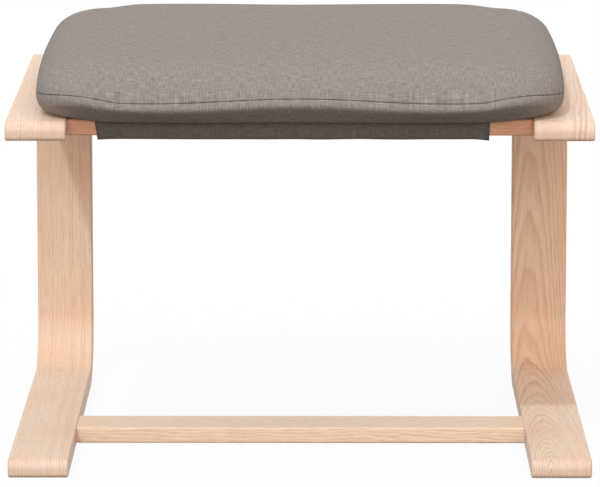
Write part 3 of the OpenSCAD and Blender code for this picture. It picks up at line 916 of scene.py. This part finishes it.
    def drill(self, piece: bpy.types.Object) -> None:
        """Cuts the bolts' counterbores and bores, and the dowels' holes.

        Args:
            piece: the side frame.
        """
        out = Vector((self.side.value, 0, 0))
        lie = Matrix.Rotation(radians(90), 4, "Y")
        cutter = bmesh.new()
        joints = [(Vector((0, *self.stretcher)), 0.0)]
        joints += [(SEAT.at(depth, self.rail_up, 0), SEAT.tilt) for depth in self.rails]
        for middle, tilt in joints:
            ahead = Vector((0, cos(tilt), sin(tilt))) * self.pitch
            outer, inner = out * self.half_w, out * (self.half_w - self.strip_w)
            for shift, face, reach, width in (
                (-ahead, outer, -(self.strip_w + self.overrun), self.bolt_d),
                (-ahead, outer, -self.head_h, self.head_d),
                (ahead, inner, self.dowel_h, self.dowel_d),
            ):
                inward = out if reach > 0 else -out
                length = abs(reach) + self.overrun
                centre = middle + shift + face - inward * self.overrun + inward * (length / 2)
                bmesh.ops.create_cone(cutter, cap_ends=True, segments=self.hole_steps, depth=length,
                                      radius1=width / 2, radius2=width / 2,
                                      matrix=Matrix.Translation(centre) @ lie)
        tool = place_mesh("drill", cutter)
        cutter.free()
        cut = piece.modifiers.new("drilled", "BOOLEAN")
        cut.operation, cut.solver, cut.use_self, cut.object = "DIFFERENCE", "EXACT", True, tool
        apply_modifiers(piece)
        bpy.data.objects.remove(tool)

    def unrolled(self, point: Vector) -> Vector:
        """Gives a point's place on the strip laid flat.

        Args:
            point: a point of the side frame.

        Returns:
            Length along the strip, plus depth so that the grain runs over the rounded ends; width; depth.
        """
        across = abs(point.x) - (self.half_w - self.strip_w)
        bend_out = self.bend_r + self.strip_t
        bend_y = self.half_d - bend_out
        middle = self.bend_r + self.strip_t / 2
        leg = SEAT.bend_z - bend_out
        runner = self.half_d + bend_y
        if point.y <= bend_y and point.z < self.half_d / 2:
            along, deep = point.y + self.half_d, point.z
        elif point.z < bend_out:
            turn = atan2(point.y - bend_y, bend_out - point.z)
            along = runner + turn * middle
            deep = bend_out - hypot(point.y - bend_y, point.z - bend_out)
        elif point.z < SEAT.bend_z:
            along = runner + middle * pi / 2 + point.z - bend_out
            deep = self.half_d - point.y
        else:
            turn = atan2(point.z - SEAT.bend_z, point.y - SEAT.bend_y)
            start = runner + middle * pi / 2 + leg
            full = pi / 2 + SEAT.tilt
            if turn < full:
                along = start + turn * middle
                deep = bend_out - hypot(point.y - SEAT.bend_y, point.z - SEAT.bend_z)
            else:
                offset = point - SEAT.at(0, 0, 0)
                ahead = -(offset.y * cos(SEAT.tilt) + offset.z * sin(SEAT.tilt))
                along = start + full * middle + ahead
                deep = offset.y * sin(SEAT.tilt) - offset.z * cos(SEAT.tilt)
        return Vector((along + deep, across, deep))


@dataclass
class SlingSeat:
    """The cloth sling: a panel with a sewn tunnel round each seat rail. Its two hook strips are built on
    their own, over its span.
    """

    cloth: Linen
    width: float = 0.364
    shift: float = -0.007
    thickness: float = 0.0009
    gap: float = 0.00025
    rail_w: float = 0.054
    rail_t: float = 0.0155
    rail_r: float = 0.002
    front_x: float = -0.35083
    rear_x: float = -0.039
    rail_up: float = -0.00922
    slack: float = 0.0024
    sag: float = 0.005
    lap: float = 0.020
    lap_inset: float = 0.002
    lap_share: float = 1.15
    span_inset: float = 0.001
    lap_start: float = 0.0035
    seams: tuple[float, float] = (0.002, 0.0045)
    across_steps: int = 72
    lap_steps: int = 6
    span_steps: int = 40

    # How the front tunnel's lower corners slant and hang, at the left and at the right, and how it ripples
    slants: tuple[float, float] = (0.0028, 0.0010)
    tails: tuple[float, float] = (0.0006, 0.0014)
    tail_from: float = 0.9
    belly: float = 0.0006
    hang_share: float = 0.6
    hang_fade: float = 0.35
    hang_all: float = 0.0004
    ripple: float = 0.0006
    ripple_rate: float = 26.0

    def outline(self) -> list[tuple[float, float]]:
        """Gives the cloth's middle line in the seat plane, from the front lap to the rear lap.

        Returns:
            Points of depth and height.
        """
        start, end, laps, spans = self.span_start, self.span_end, self.lap_steps, self.span_steps
        lap, length = self.lap - self.lap_inset, end - start - 2 * self.span_inset
        drop = self.thickness * self.lap_share
        points = [self.span(start + self.lap - i * lap / laps, drop) for i in range(laps + 1)]
        points += self.tunnel(self.front_x)
        points += [self.span(start + self.span_inset + i * length / spans, 0) for i in range(spans + 1)]
        points += [(2 * self.rear_x - x, y) for x, y in reversed(self.tunnel(self.rear_x))]
        points += [self.span(end - self.lap_inset - i * lap / laps, drop) for i in range(laps + 1)]
        return points

    @property
    def span_start(self) -> float:
        """Depth at which the span leaves the front rail."""
        return self.front_x + self.rail_w / 2

    @property
    def span_end(self) -> float:
        """Depth at which the span meets the rear rail."""
        return self.rear_x - self.rail_w / 2

    @property
    def top(self) -> float:
        """Height of the cloth's middle line on the rails."""
        return self.rail_up + self.rail_t / 2 + self.gap + self.thickness / 2

    def span(self, x: float, drop: float) -> tuple[float, float]:
        """Gives one point of the sagging span.

        Args:
            x: its depth.
            drop: how far below the cloth's middle line.

        Returns:
            Depth and height.
        """
        middle, half = (self.span_start + self.span_end) / 2, (self.span_end - self.span_start) / 2
        return x, self.top - self.sag * max(0.0, 1 - ((x - middle) / half) ** 2) - drop

    def tunnel(self, centre: float) -> list[tuple[float, float]]:
        """Gives the loop round a rail: down behind it, then below, in front and over the top.

        Args:
            centre: depth of the rail's middle.

        Returns:
            Points of depth and height.
        """
        out = self.rail_w / 2 + self.gap + self.thickness / 2
        low = self.rail_up - self.rail_t / 2 - self.slack - self.thickness / 2
        r = self.rail_r + self.gap + self.thickness / 2
        top, start, flat = self.top, self.top - self.lap_start, out - r
        points = [(centre + out, start - i * (start - low - 2 * r) / 3) for i in range(4)]
        points += self.corner(centre + flat, low + r, r, 0)
        points += [(centre + flat * (1 - 2 * i / 10), low - self.belly * sin(pi * i / 10))
                   for i in range(1, 10)]
        points += self.corner(centre - flat, low + r, r, 90)
        points += [(centre - out, low + r + i * (top - 2 * r - low) / 5) for i in range(1, 5)]
        points += self.corner(centre - flat, top - r, r, 180)
        points += [(centre - flat * (1 - 2 * i / 10), top) for i in range(1, 10)]
        return points

    def corner(self, x: float, y: float, r: float, start: int) -> list[tuple[float, float]]:
        """Gives a rounded corner.

        Args:
            x: depth of its centre.
            y: height of its centre.
            r: its radius.
            start: degrees that the loop has turned where it starts.

        Returns:
            Points of depth and height.
        """
        turns = [radians(start + a) for a in (0, 30, 60, 90)]
        return [(x + r * cos(turn), y - r * sin(turn)) for turn in turns]

    def build(self) -> bpy.types.Object:
        """Builds the sling's cloth and returns it."""
        points = self.outline()
        lengths = [0.0]
        for a, b in zip(points, points[1:]):
            lengths.append(lengths[-1] + hypot(b[0] - a[0], b[1] - a[1]))
        mesh = bmesh.new()
        along = mesh.verts.layers.float.new("along")
        line = []
        for (x, y), length in zip(points, lengths):
            vertex = mesh.verts.new(SEAT.at(x, y, self.shift - self.width / 2))
            vertex[along] = length
            line.append(vertex)
        edges = [mesh.edges.new(pair) for pair in zip(line, line[1:])]
        step = Vector((self.width / self.across_steps, 0, 0))
        for _ in range(self.across_steps):
            edges = extrude(mesh, edges, step)
        mesh.verts.index_update()
        flat = [Vector((v.co.x, v[along], 0)) for v in mesh.verts]
        self.hang(mesh)
        bmesh.ops.recalc_face_normals(mesh, faces=mesh.faces)
        first = len(self.tunnel(self.front_x)) + self.lap_steps + 1
        sewn = [lengths[first] + self.lap - inset for inset in self.seams]
        sewn += [lengths[first + self.span_steps] - self.lap + inset for inset in self.seams]
        cloth = replace(self.cloth, stitches=tuple(sewn)).build()
        piece = make_piece("cloth_seat_sling", mesh, cloth, "frame", ["seat_sling"])
        write_attribute(piece, "cloth", flat)
        thicken(piece, self.thickness)
        log.info("sling cut to %.3f by %.3f m", self.width, lengths[-1])
        return piece

    def hang(self, mesh: bmesh.types.BMesh) -> None:
        """Slants the front tunnel's ends and lets its lower corners hang, with slight ripples below.

        Args:
            mesh: the sling's cloth, one layer.
        """
        front = SEAT.at(self.front_x - self.rail_w / 2, self.rail_up, 0)
        high = front.z + self.rail_t / 2
        low = front.z - self.rail_t / 2 - self.slack
        half = self.width / 2
        for vertex in mesh.verts:
            if vertex.co.y > front.y + self.hang_share * self.rail_w:
                continue
            down = min(1.0, max(0.0, (high - vertex.co.z) / (high - low)))
            x = vertex.co.x - self.shift
            end = abs(x) / half
            near = max(0.0, 1 - (vertex.co.y - front.y) / (self.hang_fade * self.rail_w))
            vertex.co.x -= (self.slants[1] if x > 0 else -self.slants[0]) * down * end ** 4
            below = down ** 3 * min(1.0, near)
            ripple = self.ripple * noise.noise(Vector((vertex.co.x * self.ripple_rate, 0.7, 0)))
            tail = self.tails[1 if x > 0 else 0]
            corner = max(0.0, (end - self.tail_from) / (1 - self.tail_from)) ** 2
            vertex.co.z -= below * (tail * corner + ripple + self.hang_all)


@dataclass
class CushionForm:
    """The cushion's form, as the CAD source has it: a rounded plan, a crowned top and a flatter underside."""

    half_w: float = 0.2432
    front_x: float = -0.40983
    rear_x: float = 0.052
    front_corner_r: float = 0.054
    rear_corner_r: float = 0.071
    height: float = 0.048
    crown: float = 0.0065
    seam_h: float = 0.020
    seam_wave: float = 0.0023
    wave_share: float = 0.55
    corner_rise: float = 0.0046
    corner_at: tuple[float, float] = (0.206, 0.034)
    lip: float = 0.0004
    front_lip: float = 0.0034
    shoulder_r: float = 0.046
    belly_r: float = 0.013
    front_belly_r: float = 0.021
    corner_belly_r: float = 0.011
    upper_power: float = 0.84
    lower_powers: tuple[float, float] = (0.86, 1.0)
    under_from: float = 0.33
    under_powers: tuple[float, float] = (0.95, 1.15)
    front_slope: float = 0.45
    taper: float = 0.0018
    rest_gap: float = 0.0003
    front_draw: float = 0.002
    side_swell: float = 0.007
    droop: float = 0.0054
    rail_inner: float = 0.214
    sag: float = 0.003488
    sag_mid: float = -0.194915
    sag_half: float = 0.108915
    sag_from: float = 0.9999
    lip_height: float = 15.0

    @property
    def half_d(self) -> float:
        """Half of the depth."""
        return (self.rear_x - self.front_x) / 2

    @property
    def mid_x(self) -> float:
        """Depth of the cushion's middle."""
        return (self.rear_x + self.front_x) / 2

    def dip(self, value: float, half: float) -> float:
        """One in the middle, nothing at a half width."""
        return 1 - (value / half) ** 2

    def window(self, value: float, half: float) -> float:
        """Nearly one inside a half width, and nothing outside."""
        return max(0.0, 1 - abs(value / half) ** 6)

    def plan(self, u: float, v: float, inset: float) -> tuple[float, float, float, float]:
        """Maps a point of a square to the rounded plan.

        Args:
            u: depth from -1, the front, to 1.
            v: width from -1, the left, to 1.
            inset: how far inside the outer skin.

        Returns:
            Depth and width of the point, and depth and width of the outward direction at its outline.
        """
        far = max(abs(u), abs(v), NEXT_TO_NOTHING)
        half_d, half_w = self.half_d - inset, self.half_w - inset
        r = (self.rear_corner_r if u > 0 else self.front_corner_r) - inset
        x, z = u / far * half_d, v / far * half_w
        core_x = max(-(half_d - r), min(half_d - r, x))
        core_z = max(-(half_w - r), min(half_w - r, z))
        reach = max(hypot(x - core_x, z - core_z), NEXT_TO_NOTHING)
        out_x, out_z = (x - core_x) / reach, (z - core_z) / reach
        rim_x, rim_z = core_x + r * out_x, core_z + r * out_z
        rim_x, rim_z = (
            rim_x * (1 - self.front_draw / half_d * (min(0.0, rim_x) / half_d) ** 2
                     * self.dip(rim_z, half_w)),
            rim_z * (1 + (self.side_swell * (rim_z / half_w) ** 2 * self.dip(rim_x, half_d)
                          + self.taper * rim_x / half_d) / half_w),
        )
        blend = far ** 4
        return (
            far * (x + (rim_x - x) * blend),
            far * (z + (rim_z - z) * blend),
            out_x,
            out_z,
        )

    def seam(self, x: float, z: float) -> float:
        """Gives the seam's height, which rises and falls along the front and rises at its corners."""
        wave = self.seam_wave * cos(pi * z / (self.wave_share * self.half_w))
        middle, half = self.corner_at
        rise = self.corner_rise * max(0.0, self.dip(abs(z) - middle, half))
        return self.seam_h + (wave + rise) * max(0.0, -x / self.half_d) ** 2

    def upper(self, x: float, z: float, turn: float, inset: float) -> float:
        """Gives the height of the upper side at a turn of the rounded rim."""
        seam = self.seam(x, z)
        crown = self.crown * self.dip(x, self.half_d) * self.dip(z, self.half_w + self.side_swell)
        return seam + (self.height - inset - seam + crown) * sin(turn) ** self.upper_power

    def lower(self, x: float, z: float, fall: float, inset: float) -> float:
        """Gives the height of the underside at a share of the fall from the seam."""
        seam = self.seam(x, z)
        sag_x = x + self.mid_x - self.sag_mid
        sag = self.sag * max(0.0, self.dip(sag_x, self.sag_half)) * self.window(z, self.rail_inner)
        return seam - (seam - self.rest_gap - inset) * fall - (sag if fall > self.sag_from else 0.0)

    def skin(self, cube: Vector, inset: float = 0.0) -> tuple[Vector, Vector]:
        """Maps a point of a cube from -1 to 1 to the cushion's skin.

        Args:
            cube: the point, x across, y in depth, z up.
            inset: how far inside the outer skin.

        Returns:
            Its place in the shared frame, and its place on the cloth laid flat.
        """
        far = max(abs(cube.x), abs(cube.y))
        rim = far > 1 - TINY
        turn = cube.z * pi / 2 if rim else (pi / 2 if cube.z > 0 else -pi / 2)
        x, z, out_x, out_z = self.plan(cube.y, cube.x, inset)
        if turn > 0:
            rounding, side_rounding = self.shoulder_r, self.shoulder_r
            sloped = self.front_slope * max(0.0, -out_x) ** 2
            turned = 1 - max(0.0, cos(turn)) ** self.upper_power
            turned += sloped * ((2 * turn / pi) ** self.upper_power - turned)
        else:
            frontal = max(0.0, -out_x)
            rounding = self.belly_r
            if x < 0:
                rounding += (self.front_belly_r - self.belly_r) * self.window(z, self.rail_inner)
            side_rounding = self.belly_r + (self.corner_belly_r - self.belly_r) * frontal
            fall, turned = sin(-turn) ** self.lower_powers[0], 1 - max(0.0, cos(turn)) ** self.lower_powers[1]
            under = max(0.0, (-cube.z - self.under_from) / (1 - self.under_from)) if rim else 1.0
            share = frontal ** 1.5 if rim else 0.0
            fall += share * (max(0.0, -cube.z) ** self.under_powers[0] - fall)
            turned += share * (under ** self.under_powers[1] - turned)
        below = min(1.0, max(0.0, -cube.z))
        lip = self.lip + (self.front_lip - self.lip) * max(0.0, -out_x) ** 4
        # This is about 1 at its highest, a sixth of the way down
        lip *= self.lip_height * below * (1 - below) ** 5 if rim else 0.0
        x *= 1 - rounding / self.half_d * turned
        z *= 1 - side_rounding / self.half_d * turned
        if turn >= 0:
            up = self.upper(x, z, turn, inset)
            drop = self.height - up if rim else 0.0
        else:
            up = self.lower(x, z, fall, inset)
            up -= self.droop * fall * frontal ** 4 * self.window(z, self.rail_inner) if rim else 0.0
            drop = up - self.rest_gap if rim else 0.0
        flat = Vector((z + out_z * drop, x + out_x * drop, 0)) if rim else Vector((z, x, 0))
        return SEAT.at(x + self.mid_x + out_x * lip, up, z + out_z * lip), flat


@dataclass
class Cushion:
    """The loose cushion: foam core and two halves of cover. Its loop strips and the zip's tape are built on
    their own.
    """

    form: CushionForm
    cloth: Linen
    cuts: tuple[int, int, int] = (51, 47, 11)
    cover_t: float = 0.0012
    tuck: float = 0.003
    seam_gap: float = 0.0002
    pressure: float = 4.0
    ease: float = -0.015
    frames: int = 20
    slim: float = 0.0008
    smoothing: int = 12
    cap: float = 0.002
    backed: float = 0.03
    zip_half_l: float = 0.157
    zip_half_w: float = 0.008
    zip_fade: float = 0.07
    zip_depth: float = 0.006
    base_row: float = -0.999
    foam_cuts: tuple[int, int, int] = (25, 23, 7)
    foam_gap: float = 0.0008

    def build(self) -> list[bpy.types.Object]:
        """Builds the cushion's pieces and returns them."""
        whole, flat = self.cube_mesh(self.cuts)
        self.fill(whole)
        return [*self.covers(whole, flat), self.foam()]

    def fill(self, whole: bmesh.types.BMesh) -> None:
        """Fills the sewn skin by a cloth simulation and keeps its result, with each point's move capped.

        The moves are evened out over their neighbours, because the mesh is too coarse for the finest pleats.
        The skin starts a little slimmer. The seam, the zip and what lies on the sling stay where they are,
        and the foam inside keeps every point from moving inwards.

        Args:
            whole: the whole skin, which is changed.
        """
        whole.normal_update()
        outward = [vertex.normal.copy() for vertex in whole.verts]
        row = whole.verts.layers.float["row"]
        rear = SEAT.at(self.form.rear_x, 0, 0).y
        for vertex, out in zip(whole.verts, outward):
            free = min(1.0, max(0.0, (rear - vertex.co.y) / self.backed))
            share = 0.0 if vertex[row] < self.base_row else free
            vertex.co -= out * self.slim * share
        bag = place_mesh("filling", whole)
        pins = bag.vertex_groups.new(name="pins")
        for vertex in whole.verts:
            pins.add([vertex.index], self.held(vertex.co, vertex[row]), "REPLACE")
        cloth = bag.modifiers.new("cloth", "CLOTH")
        cloth.settings.vertex_group_mass = pins.name
        cloth.settings.use_pressure = True
        cloth.settings.uniform_pressure_force = self.pressure
        cloth.settings.shrink_min = self.ease
        cloth.settings.effector_weights.gravity = 0.0
        cloth.collision_settings.use_collision = False
        scene = bpy.context.scene
        for step in range(1, self.frames + 1):
            scene.frame_set(step)
        filled = bag.evaluated_get(bpy.context.evaluated_depsgraph_get()).to_mesh()
        furthest = 0.0
        steps = [moved.co - vertex.co for vertex, moved in zip(whole.verts, filled.vertices)]
        for _ in range(self.smoothing):
            steps = [
                sum((steps[edge.other_vert(vertex).index] for edge in vertex.link_edges), step * 2)
                / (len(vertex.link_edges) + 2) if step.length else step
                for vertex, step in zip(whole.verts, steps)
            ]
        for vertex, step, out in zip(whole.verts, steps, outward):
            step = step - out * min(0.0, step.dot(out))
            furthest = max(furthest, step.length)
            vertex.co += step * min(1.0, self.cap / max(step.length, NEXT_TO_NOTHING))
        bag.to_mesh_clear()
        scene.frame_set(1)
        bpy.data.objects.remove(bag)
        log.info("cover filled in %d frames, furthest move %.4f m, cap %.4f m",
                 self.frames, furthest, self.cap)

    def held(self, point: Vector, row: float) -> float:
        """Tells how firmly a point of the skin is held while it fills.

        Args:
            point: the point.
            row: its height on the cube, nothing at the seam.

        Returns:
            One where it can't move.
        """
        behind = point.y > SEAT.at(self.form.rear_x - self.zip_depth, 0, 0).y
        beside = abs((point - SEAT.at(self.form.rear_x, self.form.seam_h, 0)).z) < self.zip_half_w
        if abs(row) < TINY or row < self.base_row:
            return 1.0
        if not (behind and beside):
            return 0.0
        return min(1.0, max(0.0, 1 - (abs(point.x) - self.zip_half_l) / self.zip_fade))

    def cube_mesh(
        self, cuts: tuple[int, int, int], inset: float = 0.0
    ) -> tuple[bmesh.types.BMesh, list[Vector]]:
        """Makes an evenly cut cube and bends it to the cushion's form.

        Args:
            cuts: cuts across, in depth and in height, the last odd so that one row lies on the seam.
            inset: how far inside the outer skin.

        Returns:
            The mesh, and for each vertex its place on the flat cloth.
        """
        mesh = bmesh.new()
        bmesh.ops.create_cube(mesh, size=2.0)
        for axis, count in enumerate(cuts):
            edges = [e for e in mesh.edges
                     if abs((e.verts[0].co - e.verts[1].co).normalized()[axis]) > 0.99]
            bmesh.ops.subdivide_edges(mesh, edges=edges, cuts=count, use_grid_fill=True)
        mesh.verts.index_update()
        row = mesh.verts.layers.float.new("row")
        flat = []
        for vertex in mesh.verts:
            cube = vertex.co.copy()
            vertex[row] = cube.z
            vertex.co, cloth = self.form.skin(cube, inset)
            flat.append(cloth)
        bmesh.ops.recalc_face_normals(mesh, faces=mesh.faces)
        return mesh, flat

    def covers(self, whole: bmesh.types.BMesh, flat: Sequence[Vector]) -> list[bpy.types.Object]:
        """Parts the filled skin at the seam.

        Args:
            whole: the whole skin.
            flat: each vertex's place on the flat cloth.

        Returns:
            The top cover and the base cover.
        """
        layer = whole.verts.layers.float_vector.new("cloth")
        for vertex, value in zip(whole.verts, flat):
            vertex[layer] = value
        material = self.cloth.build()
        pieces = []
        for name, node, sign in (
            ("cushion_top_panel", "cushion_top_cover", 1),
            ("cushion_base_panel", "cushion_base_cover", -1),
        ):
            half = whole.copy()
            row = half.verts.layers.float["row"]
            away = [f for f in half.faces if sign * sum(v[row] for v in f.verts) < 0]
            bmesh.ops.delete(half, geom=away, context="FACES")
            self.tuck_rim(half, sign)
            piece = make_piece(name, half, material, "cushion", [node])
            smooth = piece.modifiers.new("soft", "SUBSURF")
            smooth.levels = smooth.render_levels = 1
            thicken(piece, self.cover_t, -1.0)
            pieces.append(piece)
        whole.free()
        return pieces

    def tuck_rim(self, half: bmesh.types.BMesh, sign: int) -> None:
        """Turns a half's open rim inwards, as a sewn seam allowance.

        Args:
            half: one half of the cover.
            sign: 1 for the upper half, -1 for the lower one.
        """
        rim = [e for e in half.edges if e.is_boundary]
        up = SEAT.at(0, 1, 0) - SEAT.at(0, 0, 0)
        centre = SEAT.at(self.form.mid_x, self.form.seam_h, 0)
        for vertex in {v for e in rim for v in e.verts}:
            vertex.co += up * sign * self.seam_gap
        for reach, back in ((0.15, 0), (0.85, 1)):
            rim = extrude(half, rim, Vector())
            for vertex in {v for e in rim for v in e.verts}:
                inward = centre - vertex.co
                inward -= up * inward.dot(up)
                vertex.co += inward.normalized() * self.tuck * reach
                vertex.co -= up * sign * self.seam_gap * back
        bmesh.ops.recalc_face_normals(half, faces=half.faces)

    def foam(self) -> bpy.types.Object:
        """Builds the foam core inside the covers, pressed in under their seam, and returns it."""
        mesh, _ = self.cube_mesh(self.foam_cuts, self.cover_t + self.slim + self.foam_gap)
        mesh.normal_update()
        row = mesh.verts.layers.float["row"]
        for vertex in [v for v in mesh.verts if abs(v[row]) < TINY]:
            vertex.co -= vertex.normal * self.tuck
        piece = make_piece("foam_filling", mesh, Foam().build(), "cushion", ["foam_core"])
        return piece


@dataclass
class GripStrip:
    """A strip of hook or loop tape, sewn down along both long edges, that sags with the sling under it."""

    name: str
    node: str
    body: str
    material_slot: str
    lift: float
    sling: SlingSeat
    depth: float
    width: float = 0.025
    length: float = 0.24
    thickness: float = 0.0008
    sewn_in: float = 0.002
    faces: tuple[int, int] = (80, 20)
    dimple: float = 0.15
    backing: float = 0.9

    def build(self, finish: bpy.types.Material) -> bpy.types.Object:
        """Builds the strip.

        Args:
            finish: its material.

        Returns:
            Its object.
        """
        mesh, flat = flat_strip(self.length, self.width, self.faces)
        for vertex in mesh.verts:
            x, y = self.sling.span(self.depth + vertex.co.y, 0)
            edge = abs(vertex.co.y) - (self.width / 2 - self.sewn_in)
            dimple = self.dimple * self.thickness * max(0.0, 1 - (edge / self.sewn_in) ** 2)
            up = y + self.sling.thickness / 2 + self.lift + self.thickness / 2 - dimple
            vertex.co = SEAT.at(x, up, self.sling.shift + vertex.co.x)
        piece = make_piece(self.name, mesh, finish, self.body, [self.node])
        write_attribute(piece, "cloth", flat)
        thicken(piece, self.backing * self.thickness)
        return piece


@dataclass
class ZipTape:
    """The zip's two woven tapes, edge to edge across the cushion's straight back."""

    form: CushionForm
    width: float = 0.012
    length: float = 0.308
    thickness: float = 0.0007
    gap: float = 0.00025
    faces: tuple[int, int] = (120, 12)
    cord: float = 0.1
    backing: float = 0.75

    def build(self, finish: bpy.types.Material) -> bpy.types.Object:
        """Builds the tape.

        Args:
            finish: its material.

        Returns:
            Its object.
        """
        mesh, flat = flat_strip(self.length, self.width, self.faces)
        behind = self.form.rear_x + self.gap + self.thickness / 2
        for vertex in mesh.verts:
            cord = self.cord * self.thickness * cos(pi * vertex.co.y / (self.cord * self.width))
            vertex.co = SEAT.at(behind + cord, self.form.seam_h + vertex.co.y, vertex.co.x)
        bmesh.ops.recalc_face_normals(mesh, faces=mesh.faces)
        piece = make_piece("woven_zip_tape", mesh, finish, "cushion", ["zip_tape"])
        write_attribute(piece, "cloth", flat)
        thicken(piece, self.backing * self.thickness)
        return piece


@dataclass
class Studio:
    """Pale floor, white surroundings, two lamps and the camera at the photograph's place."""

    camera_at: tuple[float, float, float] = (0.0189, -4.2486, 0.9176)
    camera_down: float = 9.864
    camera_turn: float = 0.2666
    lens: float = 266.7
    sensor_w: float = 36.0
    key_from: tuple[float, float, float] = (-0.31, -0.75, 1.0)
    key_strength: float = 1.18
    key_angle: float = 3.0
    key_colour: str = "CFF0FF"
    fill_from: tuple[float, float, float] = (0.0, -1.0, 0.18)
    fill_strength: float = 0.85
    fill_angle: float = 25.0
    fill_colour: str = "FFF6EC"
    surroundings: float = 0.93
    air_colour: str = "FFF3E8"
    floor_size: float = 14.0
    floor_share: float = 0.93
    floor_seen: str = "FAFAFA"
    floor_unseen: str = "505050"

    def build(self) -> None:
        """Builds the whole studio."""
        scene = bpy.context.scene
        scene.view_settings.view_transform = "Standard"
        data = bpy.data.cameras.new("camera")
        data.lens, data.sensor_width = self.lens, self.sensor_w
        camera = bpy.data.objects.new("camera", data)
        camera.location = self.camera_at
        camera.rotation_euler = (radians(90 - self.camera_down), 0, radians(self.camera_turn))
        scene.collection.objects.link(camera)
        scene.camera = camera
        self.sun("key", self.key_from, self.key_strength, self.key_angle, self.key_colour)
        self.sun("fill", self.fill_from, self.fill_strength, self.fill_angle, self.fill_colour)
        self.sky()
        self.floor()

    def sun(
        self, name: str, source: tuple[float, float, float], strength: float, angle: float, colour: str
    ) -> None:
        """Adds one lamp with parallel light.

        Args:
            name: the lamp's name.
            source: the direction that it shines from.
            strength: its strength.
            angle: its apparent width in degrees, which softens the shadows.
            colour: its sRGB hex colour.
        """
        data = bpy.data.lights.new(name, "SUN")
        data.energy, data.angle, data.color = strength, radians(angle), linear(colour)[:3]
        lamp = bpy.data.objects.new(name, data)
        lamp.rotation_euler = Vector(source).to_track_quat("Z", "Y").to_euler()
        bpy.context.scene.collection.objects.link(lamp)

    def sky(self) -> None:
        """White to the camera and in reflections, and a plain even light for everything else."""
        world = bpy.data.worlds.new("surroundings")
        world.use_nodes = True
        world.node_tree.nodes.clear()
        tree = world.node_tree
        path = add(tree, "LightPath")
        seen = path.outputs["Is Camera Ray"]
        for kind in ("Is Glossy Ray", "Is Transmission Ray"):
            seen = add(tree, "Math", {0: seen, 1: path.outputs[kind]}, operation="MAXIMUM")
        strength = add(tree, "Mix", {0: seen, 2: self.surroundings, 3: 1.0}, data_type="FLOAT")
        tint = add(tree, "Mix", {0: seen, "A": linear(self.air_colour), "B": linear("FFFFFF")},
                   data_type="RGBA")
        light = add(tree, "Background", {"Color": tint, "Strength": strength})
        add(tree, "OutputWorld", {"Surface": light})
        bpy.context.scene.world = world

    def floor(self) -> None:
        """A white floor that keeps a light shadow and throws little light back up."""
        material, tree = blank_material("white studio floor")
        path = add(tree, "LightPath")
        shown = add(tree, "Math", {0: path.outputs["Is Camera Ray"], 1: path.outputs["Is Glossy Ray"]},
                    operation="MAXIMUM")
        paint = add(tree, "Mix", {0: shown, "A": linear(self.floor_unseen), "B": linear(self.floor_seen)},
                    data_type="RGBA")
        matt = add(tree, "BsdfDiffuse", {"Color": paint})
        lit = add(tree, "Emission", {"Color": (1, 1, 1, 1), "Strength": 1.0})
        share = add(tree, "Math", {0: shown, 1: self.floor_share}, operation="MULTIPLY")
        add(tree, "OutputMaterial", {"Surface": add(tree, "MixShader", {0: share, 1: matt, 2: lit})})
        mesh = bmesh.new()
        bmesh.ops.create_grid(mesh, x_segments=1, y_segments=1, size=self.floor_size / 2)
        ground = place_mesh("floor", mesh)
        mesh.free()
        ground.data.materials.append(material)


def main() -> None:
    """Builds the stool piece by piece and puts it in the studio."""
    logging.basicConfig(level=logging.INFO, format="%(name)s: %(message)s")
    Studio().build()
    left = BentLaminate(name="beech laminate, straight grain", pith_across=-0.06, pith_rise=0.03,
                        ring_pitch=0.0024, ring_strength=0.4, wander=0.006, seed=3.0)
    right = BentLaminate(name="beech laminate, arched grain", ripple=0.12, ring_strength=0.55, seed=8.0)
    SideFrame(Side.LEFT, left).build()
    SideFrame(Side.RIGHT, right).build()
    board = SolidBeech().build()
    dress("floor_stretcher", board)
    # Painted shade: the seat rails get a darker, redder copy of the stretcher's beech, standing for the shade
    # that they sit in under the cushion
    rail_board_in_painted_shade = SolidBeech(name="solid beech, reddish", light="E6AD8B", dark="BE825E").build()
    for node in ("front_seat_rail", "rear_seat_rail"):
        dress(node, rail_board_in_painted_shade)
    steel = PlatedMetal("zinc plated steel", "B9B6B0", "D6D4CF", 0.32).build()
    for rail in ("front_rail", "rear_rail", "stretcher"):
        dress(f"{rail}_bolts", steel)
        dress(f"{rail}_barrel_nuts", steel)
        dress(f"{rail}_dowels", board)
    # Painted shade: the sling's cloth is darker than the cover's, to stand for the shade under the cushion's
    # overhang
    sling = SlingSeat(Linen(name="slubby linen weave, sling", base="6E6764", light="837D79", dark="554E4A"))
    sling.build()
    form = CushionForm()
    Cushion(form, Linen()).build()
    hooks = GripTape("nylon hook tape", "141312", "2E2C2A", 0.0012, 0.1, 0.55).build()
    loops = GripTape("nylon loop tape", "1B1A19", "3A3836", 0.0009, 1.0, 0.9).build()
    off_middle = 0.056
    for place, side in (("front", -1), ("rear", 1)):
        depth = (sling.span_start + sling.span_end) / 2 + side * off_middle
        for word, node, body, lift, tape in (
            ("hook", "sling_hook_strips", "frame", 0.0001, hooks),
            ("loop", "cushion_loop_strips", "cushion", 0.0012, loops),
        ):
            GripStrip(f"{place}_{word}_strip", node, body, f"{word}_tape", lift, sling, depth).build(tape)
    plastic = MouldedPlastic().build()
    dress("zip_teeth", plastic)
    dress("zip_end_stops", plastic)
    nickel = PlatedMetal("nickel plated zinc", "A9A49C", "C9C5BE", 0.28).build()
    dress("zip_slider", nickel)
    dress("zip_pull", nickel)
    woven = Linen(name="polyester zip tape", base="2B2927", light="3B3936", dark="1B1A18", pitch=0.0005,
                  slub=0.003, thread="4A4744", stitches=(-0.005, 0.005))
    ZipTape(form).build(woven.build())


if __name__ == "__main__":
    main()
